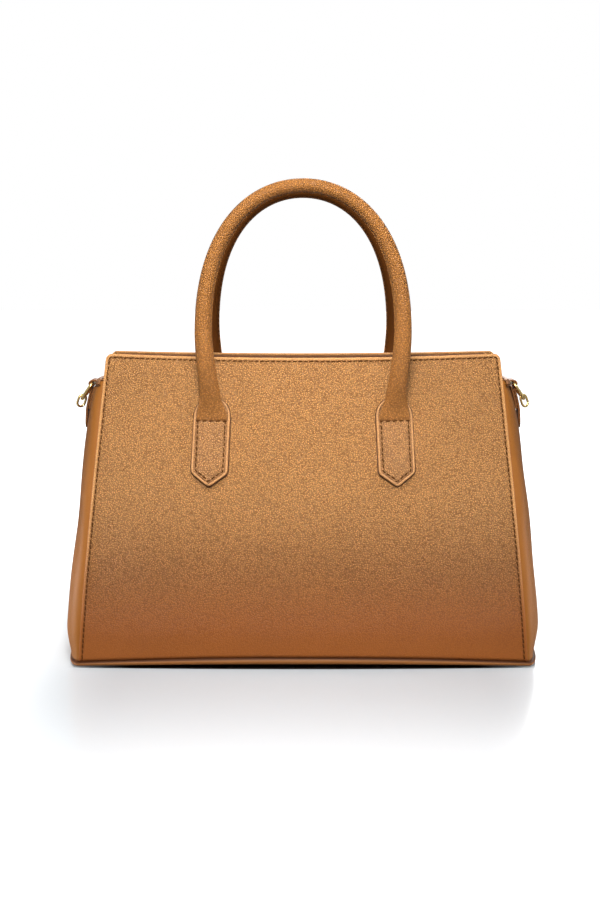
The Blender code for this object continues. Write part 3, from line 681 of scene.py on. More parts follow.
def leather_tone(tree, place, colour, crease, crease_dye_and_shade, drift):
    return place_node(tree, "ShaderNodeGroup", {
        "Place": place, "Colour": shaded(colour), "Crease": crease, "Crease dye and shade": crease_dye_and_shade,
        "Seam": marked(tree, "seam_shade"), "Drift": drift,
    }, node_tree=TONE).outputs


def pebbled_leather(name, colour, pebbles, depth, crease_dye_and_shade, low_fade=0.0):
    """Tumbled leather; towards the base the bag's weight presses the grain flat, and the colour there takes
    painted shade, darker and deeper in hue.
    """
    finish, tree, shader, place = new_finish(name)
    grain = place_node(tree, "ShaderNodeGroup", {"Place": place, "Pebbles per metre": pebbles},
                       node_tree=GRAIN).outputs
    height = place_node(tree, "ShaderNodeSeparateXYZ", {0: place}).outputs["Z"]
    worn = marked(tree, "worn")
    relief = shade_range(tree, height, 0.0, 0.085, 1.0 - low_fade, 1.0)
    relief = math_node(tree, "MAXIMUM", minus(tree, relief, times(tree, worn, 0.6)), 0.0)
    tone = leather_tone(tree, place, colour, grain["Crease"], times(tree, relief, crease_dye_and_shade), 0.12)
    # Painted highlight: pebble tops are lightened, mixed with a little random tone; worn edges are a touch
    # darker
    tops = times(tree, minus(tree, grain["Pebble highlight and tone"], 0.32), relief)
    lighter = minus(tree, plus(tree, 1.0, times(tree, tops, 0.80)), times(tree, worn, 0.05))
    toned = vector_node(tree, "SCALE", tone["Colour"], lighter)
    # Painted shade: towards the base the colour is darkened and deepened in hue, for the shade that falls on
    # the lower wall
    painted_low_shade = vector_node(tree, "MULTIPLY", toned, (0.47, 0.27, 0.05))
    low = shade_range(tree, height, 0.022, 0.130, 1.0 if low_fade else 0.0, 0.0)
    feed(tree, shader, {
        "Base Color": blend_node(tree, low, toned, painted_low_shade), "Roughness": tone["Roughness"],
    })
    bump(tree, shader, grain["Height"], depth, relief)
    return finish


def smooth_leather(name, colour, depth=0.00006, gloss=0.5):
    finish, tree, shader, place = new_finish(name)
    grain = place_node(tree, "ShaderNodeGroup", {"Place": place}, node_tree=CALF).outputs
    tone = leather_tone(tree, place, colour, grain["Crease"], 0.25, 0.10)
    feed(tree, shader, {
        "Base Color": tone["Colour"], "Roughness": tone["Roughness"], "Specular IOR Level": gloss,
    })
    bump(tree, shader, grain["Height"], depth)
    return finish


def woven_cloth(name, colour, threads):
    """Twill lining: slanted ribs crossed by fine threads."""
    finish, tree, shader, place = new_finish(name)
    slant = place_node(tree, "ShaderNodeMapping", {
        "Vector": place, "Rotation": (0.0, math.radians(28), math.radians(28)),
    }).outputs[0]
    ribs, crossing = (
        place_node(tree, "ShaderNodeTexWave", {
            "Vector": slant, "Scale": scale, "Distortion": 0.6, "Detail": 1.0,
        }, bands_direction=direction).outputs["Fac"]
        for scale, direction in ((threads, "X"), (threads * 1.4, "Z"))
    )
    weave = times(tree, ribs, plus(tree, times(tree, crossing, 0.6), 0.4))
    dark = shaded(colour, 0.62)
    dyed = blend_node(tree, weave, dark, shaded(colour))
    fuzz = times(tree, noise(tree, place, 900.0, 4.0), 0.3)
    feed(tree, shader, {
        "Base Color": blend_node(tree, fuzz, dyed, dark),
        "Roughness": shade_range(tree, weave, 0.0, 1.0, 0.95, 0.78),
    })
    bump(tree, shader, weave, 0.00025)
    return finish


def polished_gold(name, colour, roughness):
    """Plated metal with faint brushing and handling marks."""
    finish, tree, shader, place = new_finish(name)
    marks = noise(tree, place, 700.0, 6.0, 0.7)
    tarnish = noise(tree, place, 90.0, 2.0)
    feed(tree, shader, {
        "Base Color": blend_node(tree, tarnish, shaded(colour, 0.86), shaded(colour)), "Metallic": 1.0,
        "Roughness": shade_range(tree, marks, 0.3, 0.7, roughness, roughness + 0.12),
    })
    bump(tree, shader, marks, 0.00002)
    return finish


def fibrous(name, colour, scale, depth):
    """Board, cord or thread: short mixed fibres."""
    finish, tree, shader, place = new_finish(name)
    fibres = noise(tree, place, scale, 6.0, 0.75)
    feed(tree, shader, {
        "Base Color": blend_node(tree, fibres, shaded(colour, 0.6), shaded(colour)),
        "Roughness": shade_range(tree, fibres, 0.0, 1.0, 0.9, 0.65), "Specular IOR Level": 0.15,
    })
    bump(tree, shader, fibres, depth)
    return finish


PANEL_FINISH = pebbled_leather("tan_pebbled_leather", (0.645, 0.303, 0.092), 820.0, 0.00070, 1.0, 0.85)
TAB_FINISH = pebbled_leather("tab_pebbled_leather", (0.595, 0.283, 0.096), 820.0, 0.00060, 0.9)
HANDLE_FINISH = pebbled_leather("handle_pebbled_leather", (0.460, 0.178, 0.030), 780.0, 0.00040, 0.5)
# Near-black leather on the handles' inner halves: painted shade, for the shade that falls inside the arch
MOUTH_SIDE_SHADE_FINISH = smooth_leather("handle_mouth_side_painted_shade", (0.100, 0.030, 0.004), gloss=0.08)
CALF_FINISH = smooth_leather("tan_calf_leather", (0.300, 0.104, 0.012), gloss=0.30)
BASE_FINISH = smooth_leather("base_calf_leather", (0.270, 0.097, 0.018), gloss=0.3)
# Facing colour darkened: painted shade, for the shade inside the bag's mouth
FACING_SHADE_FINISH = smooth_leather("facing_leather", (0.120, 0.042, 0.010), 0.00007, gloss=0.3)
BINDING_FINISH = smooth_leather("binding_leather", (0.280, 0.112, 0.032))
STRAP_FINISH = smooth_leather("strap_leather", (0.250, 0.090, 0.024))
STRAP_EDGE_FINISH = fibrous("strap_cut_edge", (0.210, 0.082, 0.026), 900.0, 0.00004)
THREAD_FINISH = fibrous("brown_thread", (0.110, 0.036, 0.006), 2600.0, 0.00008)
CLOTH_FINISH = woven_cloth("twill_lining", (0.42, 0.29, 0.18), 520.0)
GOLD_FINISH = polished_gold("plated_gold", (0.96, 0.70, 0.28), 0.18)
BOARD_FINISH = fibrous("leather_board", (0.30, 0.22, 0.14), 500.0, 0.0001)
CORD_FINISH = fibrous("cotton_cord", (0.60, 0.54, 0.44), 1200.0, 0.0002)


# Panels
def edge_distance(x, z):
    """Distance of a panel's point from its turned edge: the sides, the top and the rounded corners."""
    from_side, from_top = panel_half_width(z) - abs(x), top_height(x) - z
    side_reach, top_reach = PANEL_CORNER_RADIUS - from_side, PANEL_CORNER_RADIUS - from_top
    if side_reach > 0 and top_reach > 0:
        return PANEL_CORNER_RADIUS - math.hypot(side_reach, top_reach)
    return min(from_side, from_top)


def turned_edge_relief(distance):
    swell = EDGE_SWELL * hump(distance - EDGE_SWELL_PLACE, EDGE_SWELL_WIDTH)
    return swell - GROOVE_DEPTH * hump(distance - STITCH_INSET, GROOVE_WIDTH)


def corner_pull(from_top):
    reach = max(PANEL_CORNER_RADIUS - from_top, 0.0)
    return PANEL_CORNER_RADIUS - math.sqrt(max(PANEL_CORNER_RADIUS**2 - reach**2, 0.0))


def side_by_side(offsets, reach, steps):
    """Distances from one edge to the other: close rows at both edges and even ones between."""
    inner = spread(offsets[-1], reach - offsets[-1], steps)[1:-1]
    return list(offsets) + inner + [reach - o for o in reversed(offsets)]


def make_panels():
    columns, heights = 44, 34
    rows, seam_shades, worn = [], [], []
    full = BODY_HEIGHT - SEAM_MIDDLE_HEIGHT
    edge_rise = full - EDGE_OFFSETS[-1]
    rises = list(SEAM_OFFSETS) + spread(SEAM_OFFSETS[-1], edge_rise, heights)[1:-1]
    rises += [full - offset for offset in reversed(EDGE_OFFSETS)]
    for rise in rises:
        row = []
        from_top = full - rise
        width = panel_half_width(mix(SEAM_MIDDLE_HEIGHT, BODY_HEIGHT, rise / full)) - corner_pull(from_top)
        for offset in side_by_side(EDGE_OFFSETS, 2 * width, columns):
            x = offset - width
            low, high = seam_height(x), top_height(x)
            if from_top <= EDGE_OFFSETS[-1]:
                z = high - from_top
            else:
                z = mix(low, high - EDGE_OFFSETS[-1], rise / edge_rise)
            distance = edge_distance(x, z)
            tuck = SEAM_TUCK * (1 - ease((z - low) / SEAM_TUCK_RISE))
            proud = turned_edge_relief(distance) + sway(x, z) * ease(distance / 0.02) - tuck
            row.append(front_skin(x, z, -proud))
            # Painted shade: darker in the stitch groove, and near black along the base seam
            groove_shade = 0.30 * hump(distance - STITCH_INSET, CREASE_WIDTH)
            seam_shades.append(max(groove_shade, 0.95 * hump(z - low, 0.0012)))
            worn.append(1 - ease((distance - 0.0014) / 0.0010))
        rows.append(row)
    panel = sheet("front_panel_leather", rows, PANEL_FINISH, "bag", "pebbled_leather", ("front_panel",))
    mark(panel, "seam_shade", seam_shades)
    mark(panel, "worn", worn)
    thicken(panel, PANEL_LEATHER)
    opposite(panel, "back_panel_leather", "bag", "back_panel")


def panel_stitch_line():
    """Stitch line up one side, round the corners, along the top and down the other side."""
    radius = PANEL_CORNER_RADIUS - STITCH_INSET
    corner_low = BODY_HEIGHT - PANEL_CORNER_RADIUS
    right = [(panel_half_width(z) - STITCH_INSET, z) for z in spread(SEAM_MIDDLE_HEIGHT, corner_low, 36)]
    centre_x = panel_half_width(corner_low) - PANEL_CORNER_RADIUS
    for angle in spread(0, math.pi / 2, 5)[1:]:
        right.append((centre_x + radius * math.cos(angle), corner_low + radius * math.sin(angle)))
    top = [(x, top_height(x) - STITCH_INSET) for x in spread(centre_x, -centre_x, 40)[1:-1]]
    line = right + top + [(-x, z) for x, z in reversed(right)]
    return [(front_skin(x, z, GROOVE_DEPTH * 0.6), front_normal(x, z)) for x, z in line]


# Inner walls
def hang_lining(word, across, rows, away_from):
    """Lining cloth on one wall and, half a turn round, on the wall across from it."""
    cloth = sheet(f"{word}_lining_cloth", rows, CLOTH_FINISH, "bag", "lining", (f"{word}_lining",), away_from)
    thicken(cloth, LINING_CLOTH, levels=0)
    opposite(cloth, f"{across}_lining_cloth", "bag", f"{across}_lining")


def make_wall_layers():
    rows = []
    for share in spread(0, 1, 10):
        row = []
        for u in spread(-1, 1, 40):
            x = u * (PANEL_TOP_HALF_WIDTH - FACING_SIDE_MARGIN)
            z = top_height(x) - FACING_TOP_MARGIN - FACING_DROP * share
            row.append(front_skin(x, z, PANEL_LEATHER + GAP))
        rows.append(row)
    facing = sheet("front_facing_leather", rows, FACING_SHADE_FINISH, "bag", "smooth_leather", ("front_facing",),
                   Vector((0, 0, 0.2)))
    thicken(facing, FACING_LEATHER)
    opposite(facing, "back_facing_leather", "bag", "back_facing")

    rows = []
    for share in spread(0, 1, 30):
        row = []
        z = mix(SEAM_HEIGHT + 0.001, BODY_HEIGHT - FACING_DROP - LINING_MARGIN, share)
        for u in spread(-1, 1, 46):
            x = u * (panel_half_width(z) - LINING_MARGIN)
            loose = 0.0006 * math.sin(70 * x + 20 * z) * math.sin(55 * z + 1.0) * ease((1 - abs(u)) * 6)
            row.append(front_skin(x, z, WALL_INSET + 0.0002 + loose * ease(share * 8)))
        rows.append(row)
    hang_lining("front", "back", rows, Vector((0, 0, 0.1)))


# Gussets
def gusset_relief(z, angle):
    slow = 0.0006 * math.sin(38 * z + 0.7) * math.sin(2.1 * angle + 0.5)
    return (slow + 0.0003 * math.sin(90 * z + 3 * angle)) * ease((math.pi / 2 - abs(angle)) / 0.5)


def make_gussets():
    rows, seam_shades = [], []
    for share in [0, 0.004, 0.010, 0.02] + spread(0.04, 1.0, 44):
        row, seam_shade = [], []
        for angle in spread(-math.pi / 2, math.pi / 2, 44):
            low = gusset_seam_height(angle)
            z = mix(low, gusset_top_height(angle), share)
            tuck = GUSSET_TUCK * (1 - ease((z - low) / SEAM_TUCK_RISE))
            row.append(gusset_arc(z, angle, tuck - gusset_relief(z, angle)))
            # Painted shade: near black along the base seam
            seam_shade.append(0.9 * hump(z - low, 0.0010))
        edge = front_skin(panel_half_width(row[0].z) - GUSSET_FLANGE, row[0].z, PANEL_LEATHER + GAP)
        rows.append([edge, *row, Vector((edge.x, -edge.y, edge.z))])
        seam_shades += [0.0, *seam_shade, 0.0]
    inside = Vector((0.1, 0, 0.1))
    gusset = sheet("right_gusset_leather", rows, CALF_FINISH, "bag", "smooth_leather", ("right_gusset",),
                   inside)
    mark(gusset, "seam_shade", seam_shades)
    thicken(gusset, GUSSET_LEATHER)
    opposite(gusset, "left_gusset_leather", "bag", "left_gusset")

    rows = []
    reach = math.radians(78)
    for share in spread(0, 1, 24):
        row = []
        for angle in spread(-reach, reach, 24):
            z = mix(SEAM_HEIGHT + 0.001, gusset_top_height(angle) - BINDING_DROP, share)
            row.append(gusset_arc(z, angle, GUSSET_LEATHER + 0.0006))
        rows.append(row)
    hang_lining("right", "left", rows, inside)


def make_bindings():
    """Folded strip over a gusset's top edge."""
    wall = BINDING_WALL
    outer, inner = -GAP / 2, GUSSET_LEATHER + GAP / 2
    rings = []
    for angle in spread(math.radians(-68), math.radians(68), 30):
        top = gusset_top_height(angle)
        low = top - BINDING_DROP
        section = (
            (low, outer, 0.0), (low, outer - wall, 0.0), (mix(low, top, 0.5), outer - wall * 1.1, 0.0),
            (top, outer - wall, 0.0), (top, outer - wall * 0.5, wall * 0.8),
            (top, mix(outer, inner, 0.5), wall * 1.1), (top, inner + wall * 0.5, wall * 0.8),
            (top, inner + wall, 0.0), (low, inner + wall, 0.0), (low, inner, 0.0), (top, inner, 0.0),
            (top, outer, 0.0),
        )
        rings.append([gusset_arc(z, angle, inset) + Vector((0, 0, rise)) for z, inset, rise in section])
    binding = lofted("right_binding", rings, BINDING_FINISH, "bag", "edge_leather", ("right_gusset_binding",))
    opposite(binding, "left_binding", "bag", "left_gusset_binding")


def binding_stitch_line():
    line = []
    for angle in spread(math.radians(-66), math.radians(66), 24):
        z = gusset_top_height(angle) - BINDING_DROP + 0.0014
        line.append((gusset_arc(z, angle, -BINDING_WALL - 0.0001), gusset_normal(z, angle)))
    return line


# Base
def footprint():
    """Outline at the base seam as (point, outward direction), running once round the bag."""
    fold_x = PANEL_BASE_HALF_WIDTH - GUSSET_LAP
    side_depth = panel_depth(fold_x, SEAM_HEIGHT)
    points = []
    for turn in (1, -1):
        for x in spread(-fold_x, fold_x, 60)[1:-1]:
            points.append(Vector((turn * x, -turn * panel_depth(x, SEAM_HEIGHT), 0)))
        for angle in spread(-math.pi / 2, math.pi / 2, 40):
            x, y = bulged(fold_x, side_depth, gusset_bulge(SEAM_HEIGHT), angle)
            points.append(Vector((turn * x, turn * y, 0)))
    outline = []
    for i, point in enumerate(points):
        along = points[(i + 1) % len(points)] - points[i - 1]
        outline.append((point, Vector((along.y, -along.x, 0)).normalized()))
    return outline


def rim_heights(point):
    """Heights of the seam and of the roll's lowest line at a place on the outline."""
    side = ease((abs(point.x) - PANEL_BASE_HALF_WIDTH + 0.004) / 0.012)
    rise = SEAM_SIDE_RISE * side * (1 - (point.y / BASE_HALF_DEPTH) ** 2)
    return seam_height(point.x) + rise, BASE_LOW_MIDDLE - BASE_LOW_DROOP * droop(point.x) + rise


def make_base():
    outline = footprint()

    def shrunk(scale, z):
        return [Vector((p.x * scale, p.y * scale, z)) for p, n in outline]

    def inset_ring(inset, height):
        return [p - n * inset + Vector((0, 0, height(*rim_heights(p)))) for p, n in outline]

    inner_scales = (0.02, 0.35, 0.65, 0.85)
    rings = [shrunk(scale, TRAY_FLOOR) for scale in inner_scales]
    rings.append(inset_ring(RIM_WIDTH, lambda high, low: TRAY_FLOOR))
    for offset, drop in BASE_ROLL:
        rings.append(inset_ring(-offset, lambda high, low: mix(high, low, drop)))
    for inset, flat in ((0.0045, 0.35), (0.0090, 0.8), (0.0140, 1.0)):
        rings.append(inset_ring(inset, lambda high, low: mix(low, BASE_UNDERSIDE, flat)))
    rings += [shrunk(scale, BASE_UNDERSIDE) for scale in reversed(inner_scales)]
    base = lofted("base_leather", rings, BASE_FINISH, "bag", "smooth_leather", ("base_panel",))
    # Painted shade: near black along the roll's top, where it meets the walls
    depths = [rim_heights(vertex.co)[0] - vertex.co.z for vertex in base.data.vertices]
    mark(base, "seam_shade", [0.95 * (1 - ease((depth - 0.0004) / 0.0008)) for depth in depths])

    rings = []
    for scale in (0.02, 0.4, 0.75, 0.97):
        ring = shrunk(scale, TRAY_LINING_TOP)
        for point in ring:
            point.z += 0.0005 * math.sin(60 * point.x) * math.cos(50 * point.y)
        rings.append(ring)
    for z in (TRAY_LINING_TOP + 0.0002, TRAY_LINING_UNDERSIDE):
        rings.append([p - n * TRAY_LINING_INSET + Vector((0, 0, z)) for p, n in outline])
    rings.append(shrunk(0.02, TRAY_LINING_UNDERSIDE))
    lofted("base_lining_cloth", rings, CLOTH_FINISH, "bag", "lining", ("base_lining",))


def make_feet():
    for side in ("left", "right"):
        for end in ("front", "back"):
            node = f"{end}_{side}_foot"
            low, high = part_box(node)
            centre = Vector(((low.x + high.x) / 2, (low.y + high.y) / 2, 0))
            turned(f"{node}_stud", FOOT_PROFILE, Matrix.Translation(centre), (node,))


# Tabs
def tab_outline():
    """Closed outline in the tab's plane with its inward direction, denser at the corners."""
    half = TAB_HALF_WIDTH
    left, right = Vector((-half, -TAB_SHOULDER_DROP)), Vector((half, -TAB_SHOULDER_DROP))
    top_left, top_right = Vector((-half, TAB_ROUND_RISE)), Vector((half, TAB_ROUND_RISE))
    tip = Vector((0.0, -TAB_TIP_DROP))

    def straight(start, end, steps):
        # Steps are packed a little closer at both ends of the run
        return [start.lerp(end, mix(i / steps, ease(i / steps), 0.7)) for i in range(steps)]

    points = straight(left, tip, 16) + straight(tip, right, 16) + straight(right, top_right, 34)
    for angle in spread(0, math.pi, 28)[:-1]:
        points.append(Vector((half * math.cos(angle), TAB_ROUND_RISE + half * math.sin(angle))))
    points += straight(top_left, left, 34)
    for _ in range(TAB_CORNER_PASSES):
        beside = zip(points[-1:] + points[:-1], points, points[1:] + points[:1])
        points = [(before + point * 2 + after) / 4 for before, point, after in beside]
    outline = []
    for i, point in enumerate(points):
        first = (point - points[i - 1]).normalized()
        second = (points[(i + 1) % len(points)] - point).normalized()
        inward = Vector((-first.y - second.y, first.x + second.x)).normalized()
        outline.append((point, inward / max(inward.dot(Vector((-first.y, first.x))), 0.5)))
    return outline


def tab_frame(side):
    """Plane of a front tab, just clear of the bulging panel; side is -1 for left and 1 for right."""
    x, z = side * TAB_X, TAB_SEAM_HEIGHT - TAB_TIP_DROP / 2
    normal = front_normal(x, z)
    level = Vector((1, 0, 0))
    level = (level - normal * level.dot(normal)).normalized()
    plane = Matrix((level, normal.cross(level), normal)).transposed().to_4x4()
    plane.translation = front_skin(x, z)
    plane = plane @ Matrix.Rotation(side * TAB_TILT, 4, "Z")
    plane.translation += plane.col[1].xyz * (TAB_TIP_DROP / 2)
    proud = -GAP
    for point, inward in tab_outline():
        corner = plane @ point.to_3d()
        across, upward = panel_slopes(corner.x, corner.z)
        depth = panel_depth(corner.x, corner.z) + corner.y
        proud = max(proud, depth / math.sqrt(1 + across**2 + upward**2))
    plane.translation += plane.col[2].xyz * (proud + GAP)
    return plane


def tab_border_top(y):
    return mix(0.0032, 0.0020, ease((y + 0.0005) / 0.0016))


def tab_height(distance, y, x):
    """Height of the tab's surface above its plane, at a distance inside its outline."""
    crown = 0.0006 * (1 - (x / TAB_HALF_WIDTH) ** 2)
    field = mix(0.0033 + crown, TAB_BACKING - 0.0001, ease((y + 0.0009) / 0.0012))
    groove = 0.0006 * hump(distance - TAB_STITCH_INSET, 0.00055) * ease(-y / 0.001)
    gutter = 0.00035 * hump(distance - TAB_BORDER - 0.0002, 0.0004)
    return mix(tab_border_top(y), field, ease((distance - TAB_BORDER) / 0.0012)) - groove - gutter


def distance_in_tab(x, y):
    """Distance of a place in the tab's plane from the tab's outline."""
    if y > TAB_ROUND_RISE:
        return TAB_HALF_WIDTH - math.hypot(x, y - TAB_ROUND_RISE)
    from_point = (y + TAB_TIP_DROP - abs(x) * math.tan(TAB_SLOPE)) * math.cos(TAB_SLOPE)
    return min(TAB_HALF_WIDTH - abs(x), from_point)


def tab_rings(outline):
    """Rings of (place in the plane, height): back, ledge, edge, stitched border and field."""
    bare = [p for p, inward in outline]
    ledge = [p - inward * TAB_LEDGE for p, inward in outline]
    spine_low, spine_high = -TAB_TIP_DROP + 0.0150, TAB_ROUND_RISE
    spine = [Vector((0.0, min(max(p.y, spine_low), spine_high))) for p in bare]
    levels = (
        (spine, 0.0002), ([p + inward * 0.0040 for p, inward in outline], 0.0002),
        ([p + inward * 0.0004 for p, inward in outline], -0.0009),
        (ledge, -0.0004), (ledge, 0.0005), (bare, 0.0006),
    )
    rings = [[(p, height) for p in ring] for ring, height in levels]
    for share in (0.4, 0.75):
        rings.append([(p, share * tab_border_top(p.y)) for p in bare])
    for inset in TAB_INSETS:
        ring = [p + inward * inset for p, inward in outline]
        rounding = 0.0003 * hump(inset, 0.0004)
        rings.append([(p, tab_height(inset, p.y, p.x) - rounding) for p in ring])
    for share in (0.2, 0.45, 0.72, 1.0):
        inner = [p.lerp(Vector((0.0, min(max(p.y, spine_low), spine_high))), share) for p in ring]
        rings.append([(p, tab_height(1.0, p.y, p.x)) for p in inner])
    return rings


def make_tabs():
    rings = tab_rings(tab_outline())
    for side, word, across in ((-1, "left", "right"), (1, "right", "left")):
        plane = tab_frame(side)
        placed = [[plane @ Vector((p.x, p.y, height)) for p, height in ring] for ring in rings]
        tab = lofted(f"front_{word}_tab_leather", placed, TAB_FINISH, "bag", "pebbled_leather",
                     (f"front_{word}_tab",), caps=False)
        local = plane.inverted()
        seam_shades, worn = [], []
        for vertex in tab.data.vertices:
            p = local @ vertex.co
            distance = distance_in_tab(p.x, p.y)
            worn.append(ease(p.z / 0.0016) * (1 - ease((distance - TAB_BORDER + 0.0003) / 0.0007)))
            # Painted shade: darker in the stitch groove, along the cross stitches under the handle's foot, at
            # the foot of the tab's edge and in the gutter inside the border
            line = 0.35 * hump(distance - TAB_STITCH_INSET, 0.0007) * ease(-p.y / 0.0008 + 1)
            cross = 0.6 * hump(p.y, 0.0007) * ease(distance / 0.002)
            foot = 0.95 * (1 - ease((p.z - 0.0006) / 0.0014)) if distance < 0.0006 else 0.0
            gutter = 0.45 * hump(distance - TAB_BORDER - 0.0003, 0.0004)
            seam_shades.append(min(max(line, cross, foot, gutter), 1.0))
        mark(tab, "seam_shade", seam_shades)
        mark(tab, "worn", worn)
        opposite(tab, f"back_{across}_tab_leather", "bag", f"back_{across}_tab")


def tab_stitch_lines():
    """Stitches round the field below the handle's foot and across its top edge."""
    lines = []
    half = TAB_HALF_WIDTH - TAB_STITCH_INSET
    tip = -TAB_TIP_DROP + TAB_STITCH_INSET / math.cos(TAB_SLOPE)
    shoulder = tip + half * math.tan(TAB_SLOPE)
    corners = [Vector(place) for place in (
        (-half, -0.0012), (-half, shoulder), (0, tip), (half, shoulder), (half, -0.0012),
    )]
    round_path = [start.lerp(end, i / 8) for start, end in zip(corners, corners[1:]) for i in range(8)]
    round_path.append(corners[-1])
    cross_path = [Vector((x, -0.0009)) for x in spread(-half + 0.0004, half - 0.0004, 8)]
    for side in (-1, 1):
        plane = tab_frame(side)
        for path in (round_path, cross_path):
            line = []
            for p in path:
                height = tab_height(distance_in_tab(p.x, p.y), p.y - 0.001, p.x) + 0.0001
                line.append((plane @ Vector((p.x, p.y, height)), plane.col[2].xyz))
            lines.append(line)
    return lines


# Handles
def handle_stations():
    """Centre line of the front handle from foot to foot as (point, half width, half thickness)."""
    foot = Vector(((tab_frame(1) @ Vector((0, 0, TAB_THICKNESS))).x, HINGE.z - FOOT_TUCK))
    shoulder = Vector((HANDLE_HALF_SPAN, HANDLE_SHOULDER_HEIGHT))
    crown = Vector((0, HANDLE_TOP))
    pull, side_pull = Vector((0, HANDLE_FOOT_PULL)), Vector((0, HANDLE_SIDE_PULL))
    crown_pull = Vector((HANDLE_CROWN_PULL, 0))
    places = [bezier(foot, foot + pull, shoulder - pull, shoulder, i / 40) for i in range(40)]
    places += [bezier(shoulder, shoulder + side_pull, crown + crown_pull, crown, i / 44) for i in range(45)]
    right = []
    for place in places:
        rise = place.y - HINGE.z
        thickness = mix(FOOT_HALF_THICKNESS, HANDLE_RADIUS, ease(rise / HANDLE_FLARE))
        depth = mix(HINGE.y + FOOT_HALF_THICKNESS, -HANDLE_PLANE, ease(rise / HANDLE_RISE))
        right.append((Vector((place.x, depth, place.y)), smooth_share(HANDLE_WIDTHS, rise), thickness))
    left = [(Vector((-p.x, p.y, p.z)), w, t) for p, w, t in right[:-1]]
    return left + list(reversed(right))


def handle_axes(stations, index):
    last = len(stations) - 1
    along = (stations[min(index + 1, last)][0] - stations[max(index - 1, 0)][0]).normalized()
    if index in (0, last):
        along = Vector((0, 0, 1 if index == 0 else -1))
    outward = Vector((0, -1, 0))
    outward = (outward - along * outward.dot(along)).normalized()
    return outward, outward.cross(along)


def handle_point(stations, index, angle):
    """Point of the handle's skin; angle pi is the inner side of the arch, where the seam runs."""
    point, width, thickness = stations[index]
    outward, across = handle_axes(stations, index)
    turn = abs(math.remainder(angle - math.pi, 2 * math.pi))
    ridge = SEAM_RIDGE * hump(turn, SEAM_RIDGE_ANGLE) - 0.00018 * hump(turn - 0.2, 0.08)
    swell = 1 + ridge * ease((thickness - 0.0030) / 0.0020) / max(thickness, width)
    sideways, forward = width * swell * math.cos(angle), thickness * swell * math.sin(angle)
    return point + across * sideways + outward * forward


def make_handles():
    stations = handle_stations()
    # Close steps round the seam on the inner side, wider ones elsewhere
    half = [0.0, 0.05, 0.10, 0.16, 0.23, 0.32] + spread(0.45, math.pi, 14)
    angles = [math.pi + a for a in half[:-1]] + [math.pi - a for a in reversed(half[1:])]
    rings = [[handle_point(stations, i, angle) for angle in angles] for i in range(len(stations))]
    # The inner half of each handle takes the near-black finish: painted shade, for the shade inside the arch
    mouth_side = [
        c for c, (a, b) in enumerate(zip(angles, angles[1:]))
        if a >= math.pi + MOUTH_SIDE_MARGIN and b <= 2 * math.pi - MOUTH_SIDE_MARGIN
    ]
    cover = lofted("front_handle_leather", rings, HANDLE_FINISH, None, "pebbled_leather",
                   inlay=(MOUTH_SIDE_SHADE_FINISH, mouth_side))
    # Painted shade: darker at the foot's lower end, where it tucks under the tab
    rises = [vertex.co.z - HINGE.z for vertex in cover.data.vertices]
    mark(cover, "seam_shade", [0.75 * (1 - ease((rise + 0.0012) / 0.0024)) for rise in rises])
    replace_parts(cover, "front_handle_cover")
    back = opposite(cover, "back_handle_leather", None, "back_handle_cover")
    line = []
    for i, (point, width, thickness) in enumerate(stations):
        if thickness > 0.0050:
            place = handle_point(stations, i, math.pi + SEAM_STITCH_ANGLE)
            line.append((place, (place - point).normalized()))
    stitches = lay_stitches("front_handle_stitches", [line])
    back_stitches = opposite(stitches, "back_handle_stitches", None)
    for piece in (cover, stitches):
        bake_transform(piece, "bag", "front_handle", start=HINGE, end=HINGE + Vector((0, 0, HANDLE_BEND)))
    turned_hinge = HALF_TURN @ HINGE
    for piece in (back, back_stitches):
        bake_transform(piece, "bag", "back_handle", start=turned_hinge,
                 end=turned_hinge + Vector((0, 0, HANDLE_BEND)))


# Ring tabs, rings and links
def gusset_face(z, proud=0.0):
    return gusset_arc(z, 0.0, -proud).x


def make_ring_tabs():
    """Strap sewn to the gusset, folded over the ring's bar and sewn down again, with a hanging tongue."""
    fold = RING_WIRE_RADIUS + PIN_CLEARANCE
    sewn_low, sewn_high = RING_BAR.z - STRAP_SEWN_DROP, RING_BAR.z - STRAP_SEWN_TOP_DROP
    half = STRAP_WIDTH / 2
    path = [(gusset_face(z, GAP + STRAP_LEATHER), z, half) for z in spread(sewn_low, sewn_high, 10)]
    inner_x, outer_x = RING_BAR.x - fold - STRAP_TOP_REACH, RING_BAR.x + fold
    for angle in spread(math.pi, 0, 18):
        power = STRAP_TOP_SQUARENESS if angle > math.pi / 2 else 1.0
        reach = math.copysign(abs(math.cos(angle)) ** power, math.cos(angle))
        x = mix(inner_x, outer_x, 0.5) + (outer_x - inner_x) / 2 * reach
        path.append((x, RING_BAR.z + STRAP_TOP_RISE * math.sin(angle) ** power, half))
    for z in spread(sewn_high, sewn_low, 10)[1:]:
        path.append((gusset_face(z, 2 * GAP + STRAP_LEATHER), z, half))
    tip_low = RING_BAR.z - TONGUE_DROP
    hang_start = gusset_face(sewn_low, 2 * GAP + STRAP_LEATHER)
    hang_end = gusset_face(tip_low, TONGUE_STANDOFF)
    tongue = [(z, half) for z in spread(sewn_low, tip_low + half, 8)[1:-1]]
    for angle in spread(0, math.pi / 2 - 0.12, 12):
        tongue.append((tip_low + half * (1 - math.sin(angle)), half * math.cos(angle)))
    for z, reach in tongue:
        path.append((mix(hang_end, hang_start, (z - tip_low) / (sewn_low - tip_low)), z, reach))
    rows = [[Vector((x, -reach * u, z)) for u in spread(-1, 1, 12)] for x, z, reach in path]
    strap = sheet("right_ring_tab_leather", rows, STRAP_FINISH, "bag", "smooth_leather", ("right_ring_tab",),
                  Vector((0, 0, 0.18)))
    thicken(strap, STRAP_LEATHER, edge_finish=STRAP_EDGE_FINISH)
    strap.modifiers["wall"].offset = 1.0
    opposite(strap, "left_ring_tab_leather", "bag", "left_ring_tab")


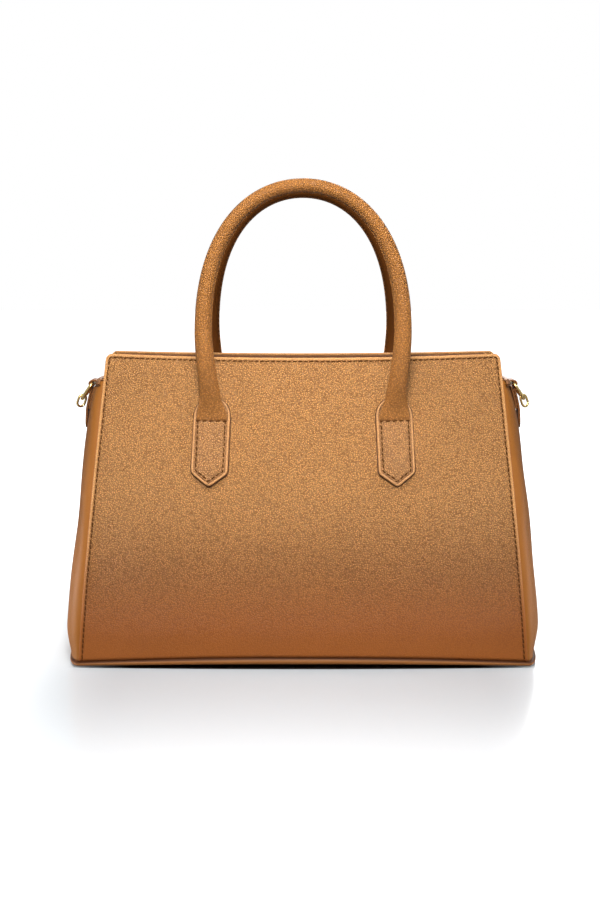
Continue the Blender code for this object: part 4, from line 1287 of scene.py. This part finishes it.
def ring_line():
    """Closed line of the D-ring: straight bar, two tight corners and a round bow."""
    bar_half = RING_HALF_WIDTH - RING_CORNER

    def corner(end, angle):
        y = end * bar_half + RING_CORNER * math.cos(angle)
        return Vector((0, y, -RING_CORNER + RING_CORNER * math.sin(angle)))

    points = [Vector((0, y, 0)) for y in spread(-bar_half, bar_half, 10)]
    points += [corner(1, angle) for angle in spread(math.pi / 2, 0, 6)[1:]]
    for angle in spread(0, math.pi, 40)[1:]:
        z = -RING_CORNER - (RING_DEPTH - RING_CORNER) * math.sin(angle)
        points.append(Vector((0, RING_HALF_WIDTH * math.cos(angle), z)))
    return points + [corner(-1, angle) for angle in spread(math.pi, math.pi / 2, 6)[1:-1]]


def link_line():
    centre = RING_WIRE_RADIUS + LINK_PLAY + LINK_WIRE_RADIUS - LINK_HALF_WIDTH
    points = []
    for end, drop in ((1, 0.0), (-1, LINK_LENGTH - 2 * LINK_HALF_WIDTH)):
        for angle in spread(0, math.pi, 20):
            reach = end * LINK_HALF_WIDTH
            points.append(Vector((reach * math.cos(angle), 0, centre - drop + reach * math.sin(angle))))
    return points


def make_rings():
    lean = Matrix.Rotation(-RING_LEAN, 4, "Y")
    turn = Matrix.Rotation(-LINK_LEAN, 4, "Y") @ Matrix.Rotation(LINK_TURN, 4, "Z")
    for word, line, place, turning, flat, radius, node in (
        ("ring", ring_line(), RING_BAR, lean, Vector((1, 0, 0)), RING_WIRE_RADIUS, "d_ring"),
        ("link", link_line(), RING_HANG, turn, Vector((0, 1, 0)), LINK_WIRE_RADIUS, "link"),
    ):
        points = [Matrix.Translation(place) @ turning @ p for p in line]
        piece = wire(f"right_{word}_gold", points, (turning @ flat).normalized(), radius, f"right_{word}",
                     f"right_{node}")
        opposite(piece, f"left_{word}_gold", f"left_{word}", f"left_{node}")


# Stitches by geometry nodes
def stitch_nodes():
    """Tree that lays one thread stitch at every step of a line, along it and square to the leather."""
    tree = bpy.data.node_groups.new("thread_stitches", "GeometryNodeTree")
    sizes = [(name, "Float") for name in STITCH_SIZES]
    for name, kind in [("Line", "Geometry"), *sizes, ("Seed", "Int"), ("Thread", "Material")]:
        tree.interface.new_socket(name, in_out="INPUT", socket_type=f"NodeSocket{kind}")
    tree.interface.new_socket("Stitches", in_out="OUTPUT", socket_type="NodeSocketGeometry")
    given = tree.nodes.new("NodeGroupInput").outputs

    def point(**sockets):
        return place_node(tree, "ShaderNodeCombineXYZ", sockets).outputs[0]

    half = times(tree, given["Length"], 0.5)
    low = times(tree, given["Sink"], -1.0)
    arc = place_node(tree, "GeometryNodeCurveQuadraticBezier", {
        "Resolution": 5, "Middle": point(Z=times(tree, given["Rise"], 2.0)),
        "Start": point(X=times(tree, half, -1.0), Y=times(tree, given["Slant"], -1.0), Z=low),
        "End": point(X=half, Y=given["Slant"], Z=low),
    })
    ring = place_node(tree, "GeometryNodeCurvePrimitiveCircle", {"Resolution": 6, "Radius": given["Radius"]})
    thread = place_node(tree, "GeometryNodeCurveToMesh", {
        "Curve": arc.outputs["Curve"], "Profile Curve": ring.outputs["Curve"], "Fill Caps": True,
    })
    line = place_node(tree, "GeometryNodeMeshToCurve", {"Mesh": given["Line"]})
    steps = place_node(tree, "GeometryNodeResampleCurve", {
        "Curve": line.outputs["Curve"], "Length": given["Pitch"],
    }, mode="LENGTH")
    lay = place_node(tree, "GeometryNodeInputNamedAttribute", {"Name": "lay"}, data_type="FLOAT_VECTOR")
    tangent = place_node(tree, "GeometryNodeInputTangent")
    turn = place_node(tree, "FunctionNodeAxesToRotation", {
        "Primary Axis": lay.outputs["Attribute"], "Secondary Axis": tangent.outputs["Tangent"],
    }, primary_axis="Z", secondary_axis="X")
    vary = place_node(tree, "FunctionNodeRandomValue", data_type="FLOAT")
    for socket in vary.inputs:
        if socket.name == "Seed":
            tree.links.new(given["Seed"], socket)
        elif socket.enabled and socket.name in ("Min", "Max"):
            socket.default_value = 0.90 if socket.name == "Min" else 1.08
    laid = place_node(tree, "GeometryNodeInstanceOnPoints", {
        "Points": steps.outputs["Curve"], "Instance": thread.outputs["Mesh"],
        "Rotation": turn.outputs["Rotation"],
        "Scale": next(socket for socket in vary.outputs if socket.enabled),
    })
    real = place_node(tree, "GeometryNodeRealizeInstances", {"Geometry": laid.outputs["Instances"]})
    smooth = place_node(tree, "GeometryNodeSetShadeSmooth", {"Geometry": real.outputs["Geometry"]})
    finish = place_node(tree, "GeometryNodeSetMaterial", {
        "Geometry": smooth.outputs["Geometry"], "Material": given["Thread"],
    })
    tree.links.new(finish.outputs["Geometry"], tree.nodes.new("NodeGroupOutput").inputs["Stitches"])
    return tree


STITCH_TREE = stitch_nodes()


def lay_stitches(name, lines, seed=3):
    """Mesh of stitches along lines of (point, outward normal)."""
    points, edges, normals = [], [], []
    for line in lines:
        first = len(points)
        points += [p for p, n in line]
        normals += [n for p, n in line]
        edges += [(i, i + 1) for i in range(first, len(points) - 1)]
    guide_mesh = bpy.data.meshes.new(name)
    guide_mesh.from_pydata(points, edges, [])
    lay = guide_mesh.attributes.new("lay", "FLOAT_VECTOR", "POINT")
    lay.data.foreach_set("vector", [c for n in normals for c in n])
    guide = link_in(name + "_guide", guide_mesh)
    modifier = guide.modifiers.new("stitches", "NODES")
    modifier.node_group = STITCH_TREE
    values = {**STITCH_SIZES, "Seed": seed, "Thread": THREAD_FINISH}
    for item in STITCH_TREE.interface.items_tree:
        if item.in_out == "INPUT" and item.name in values:
            modifier[item.identifier] = values[item.name]
    evaluated = guide.evaluated_get(bpy.context.evaluated_depsgraph_get())
    mesh = bpy.data.meshes.new_from_object(evaluated)
    bpy.data.objects.remove(guide, do_unlink=True)
    piece = link_in(name, mesh)
    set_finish(piece, "edge_leather")
    return piece


def make_stitches():
    rows = (
        ("front_panel", "back_panel", [panel_stitch_line()], 3),
        ("front_tab", "back_tab", tab_stitch_lines(), 5),
        ("right_binding", "left_binding", [binding_stitch_line()], 7),
    )
    pieces = [(lay_stitches(f"{word}_stitches", lines, seed), across) for word, across, lines, seed in rows]
    for piece, across in pieces:
        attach(piece, "bag")
        opposite(piece, f"{across}_stitches", "bag")


# Magnetic snap, on the facings
SNAP_PROFILES = {
    "snap_stud": (
        (0.0, 0.0028), (0.0022, 0.0028), (0.0028, 0.0024), (0.0028, 0.0016), (0.0060, 0.0016),
        (0.0067, 0.0013), (0.0070, 0.0008), (0.0070, 0.0), (0.0, 0.0),
    ),
    "snap_socket": (
        (0.0, 0.0010), (0.0033, 0.0010), (0.0034, 0.0012), (0.0034, 0.0024), (0.0038, 0.0026),
        (0.0062, 0.0026), (0.0068, 0.0023), (0.0070, 0.0018), (0.0070, 0.0), (0.0, 0.0),
    ),
}


def make_snap():
    for node, profile in SNAP_PROFILES.items():
        low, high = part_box(node)
        z = (low.z + high.z) / 2
        into = -front_normal(0, z)
        side = Vector((1, 0, 0))
        seat = Matrix((side, into.cross(side), into)).transposed().to_4x4()
        seat.translation = front_skin(0, z, PANEL_LEATHER + GAP + FACING_LEATHER + GAP)
        if node == "snap_socket":
            seat = HALF_TURN @ seat
        turned(f"{node}_gold", profile, seat, (node,))


# Hidden pieces keep their CAD shape and get a finish
def dress_hidden_nodes():
    finishes = {"board": BOARD_FINISH, "core": CORD_FINISH, "gold": GOLD_FINISH}
    for row in frame["record"]["subparts"]:
        if row["material_slot"] in finishes:
            for slot in frame["nodes"][row["node"]].material_slots:
                slot.material = finishes[row["material_slot"]]


# Floor, backdrop, light and camera
def make_stage():
    reach = 6.0
    floor_mesh = bpy.data.meshes.new("floor")
    floor_mesh.from_pydata([(-reach, -reach, 0), (reach, -reach, 0), (reach, reach, 0), (-reach, reach, 0)],
                           [], [(0, 1, 2, 3)])
    link_in("floor", floor_mesh)
    finish, tree, shader, place = new_finish("pale_floor")
    rays = place_node(tree, "ShaderNodeLightPath").outputs
    seen = blend_node(tree, rays["Is Camera Ray"], (0.24, 0.24, 0.24, 1.0), (0.60, 0.640, 0.670, 1.0))
    # Painted shadow: the floor straight below the bag is painted near black, with the base's crowned outline
    level = vector_node(tree, "ABSOLUTE", place)
    away = place_node(tree, "ShaderNodeSeparateXYZ", {0: level}).outputs
    crown = times(tree, math_node(tree, "POWER", away["X"], 2.0), BASE_CROWN / PANEL_BASE_HALF_WIDTH**2)
    painted_shadow_depth = shade_range(tree, plus(tree, away["Y"], crown), 0.0685, 0.0715, 1.0, 0.0)
    painted_contact_shadow = times(tree, painted_shadow_depth, shade_range(tree, away["X"], 0.150, 0.174, 1.0, 0.0))
    # Away from the bag the floor fades to white; the dimmer zone left round the bag is painted shade and
    # reflection of the bag
    beyond = vector_node(tree, "MAXIMUM", vector_node(tree, "SUBTRACT", level, (0.125, 0.070, 0.0)))
    beyond = vector_node(tree, "MULTIPLY", beyond, (2.4, 1.0, 1.0))
    distance = place_node(tree, "ShaderNodeVectorMath", {0: beyond}, operation="LENGTH").outputs["Value"]
    feed(tree, shader, {
        "Base Color": blend_node(tree, painted_contact_shadow, seen, (0.02, 0.015, 0.012, 1.0)), "Roughness": 0.22,
        "Emission Color": (1.0, 1.0, 1.0, 1.0),
        "Emission Strength": times(tree, shade_range(tree, distance, 0.0, 0.42), rays["Is Camera Ray"]),
    })
    floor_mesh.materials.append(finish)

    world = bpy.data.worlds.new("studio")
    bpy.context.scene.world = world
    world.use_nodes = True
    tree = world.node_tree
    rays = place_node(tree, "ShaderNodeLightPath").outputs
    glossy = blend_node(tree, rays["Is Glossy Ray"], (0.22, 0.22, 0.22, 1.0), (0.50, 0.50, 0.50, 1.0))
    shown = blend_node(tree, rays["Is Camera Ray"], glossy, (1.0, 1.0, 1.0, 1.0))
    feed(tree, tree.nodes["Background"], {"Color": shown, "Strength": 1.0})


def add_softbox(name, place, target, size, power, beam=math.pi):
    lamp = bpy.data.lights.new(name, "AREA")
    lamp.shape = "RECTANGLE"
    lamp.size, lamp.size_y = size
    lamp.energy = power
    lamp.spread = beam
    holder = link_in(name, lamp)
    holder.location = place
    holder.rotation_mode = "QUATERNION"
    holder.rotation_quaternion = (Vector(target) - Vector(place)).to_track_quat("-Z", "Y")


def make_lights():
    middle, near_beam, side_beam = (0.0, 0.0, 0.15), math.radians(60), math.radians(22)
    add_softbox("overhead_softbox", (0.0, -0.60, 1.45), middle, (0.7, 0.5), 12.0)
    add_softbox("near_softbox", (-0.02, -0.78, 0.64), (-0.01, -0.03, 0.20), (0.22, 0.16), 1.10, near_beam)
    add_softbox("front_softbox", (-0.3, -1.7, 1.10), middle, (0.8, 0.8), 2.0)
    add_softbox("back_softbox", (0.3, 1.5, 0.80), middle, (0.9, 0.7), 15.0)
    for word, side, power in (("left", -1, 0.14), ("right", 1, 0.10)):
        place, target = (side * 0.95, 0.02, 0.10), (side * 0.17, 0.0, 0.02)
        add_softbox(f"{word}_softbox", place, target, (0.20, 0.12), power, side_beam)


def make_camera():
    lens = bpy.data.cameras.new("camera")
    lens.lens = CAMERA_LENS_MM
    lens.sensor_width = CAMERA_SENSOR_MM
    lens.clip_start = 0.05
    camera = link_in("camera", lens)
    camera.location = CAMERA_PLACE
    camera.rotation_euler = (math.pi / 2 - CAMERA_PITCH, 0, 0)
    bpy.context.scene.camera = camera
    bpy.context.scene.view_settings.view_transform = "Standard"


make_panels()
make_wall_layers()
make_gussets()
make_bindings()
make_base()
make_feet()
make_tabs()
make_handles()
make_ring_tabs()
make_rings()
make_stitches()
make_snap()
dress_hidden_nodes()
make_stage()
make_lights()
make_camera()
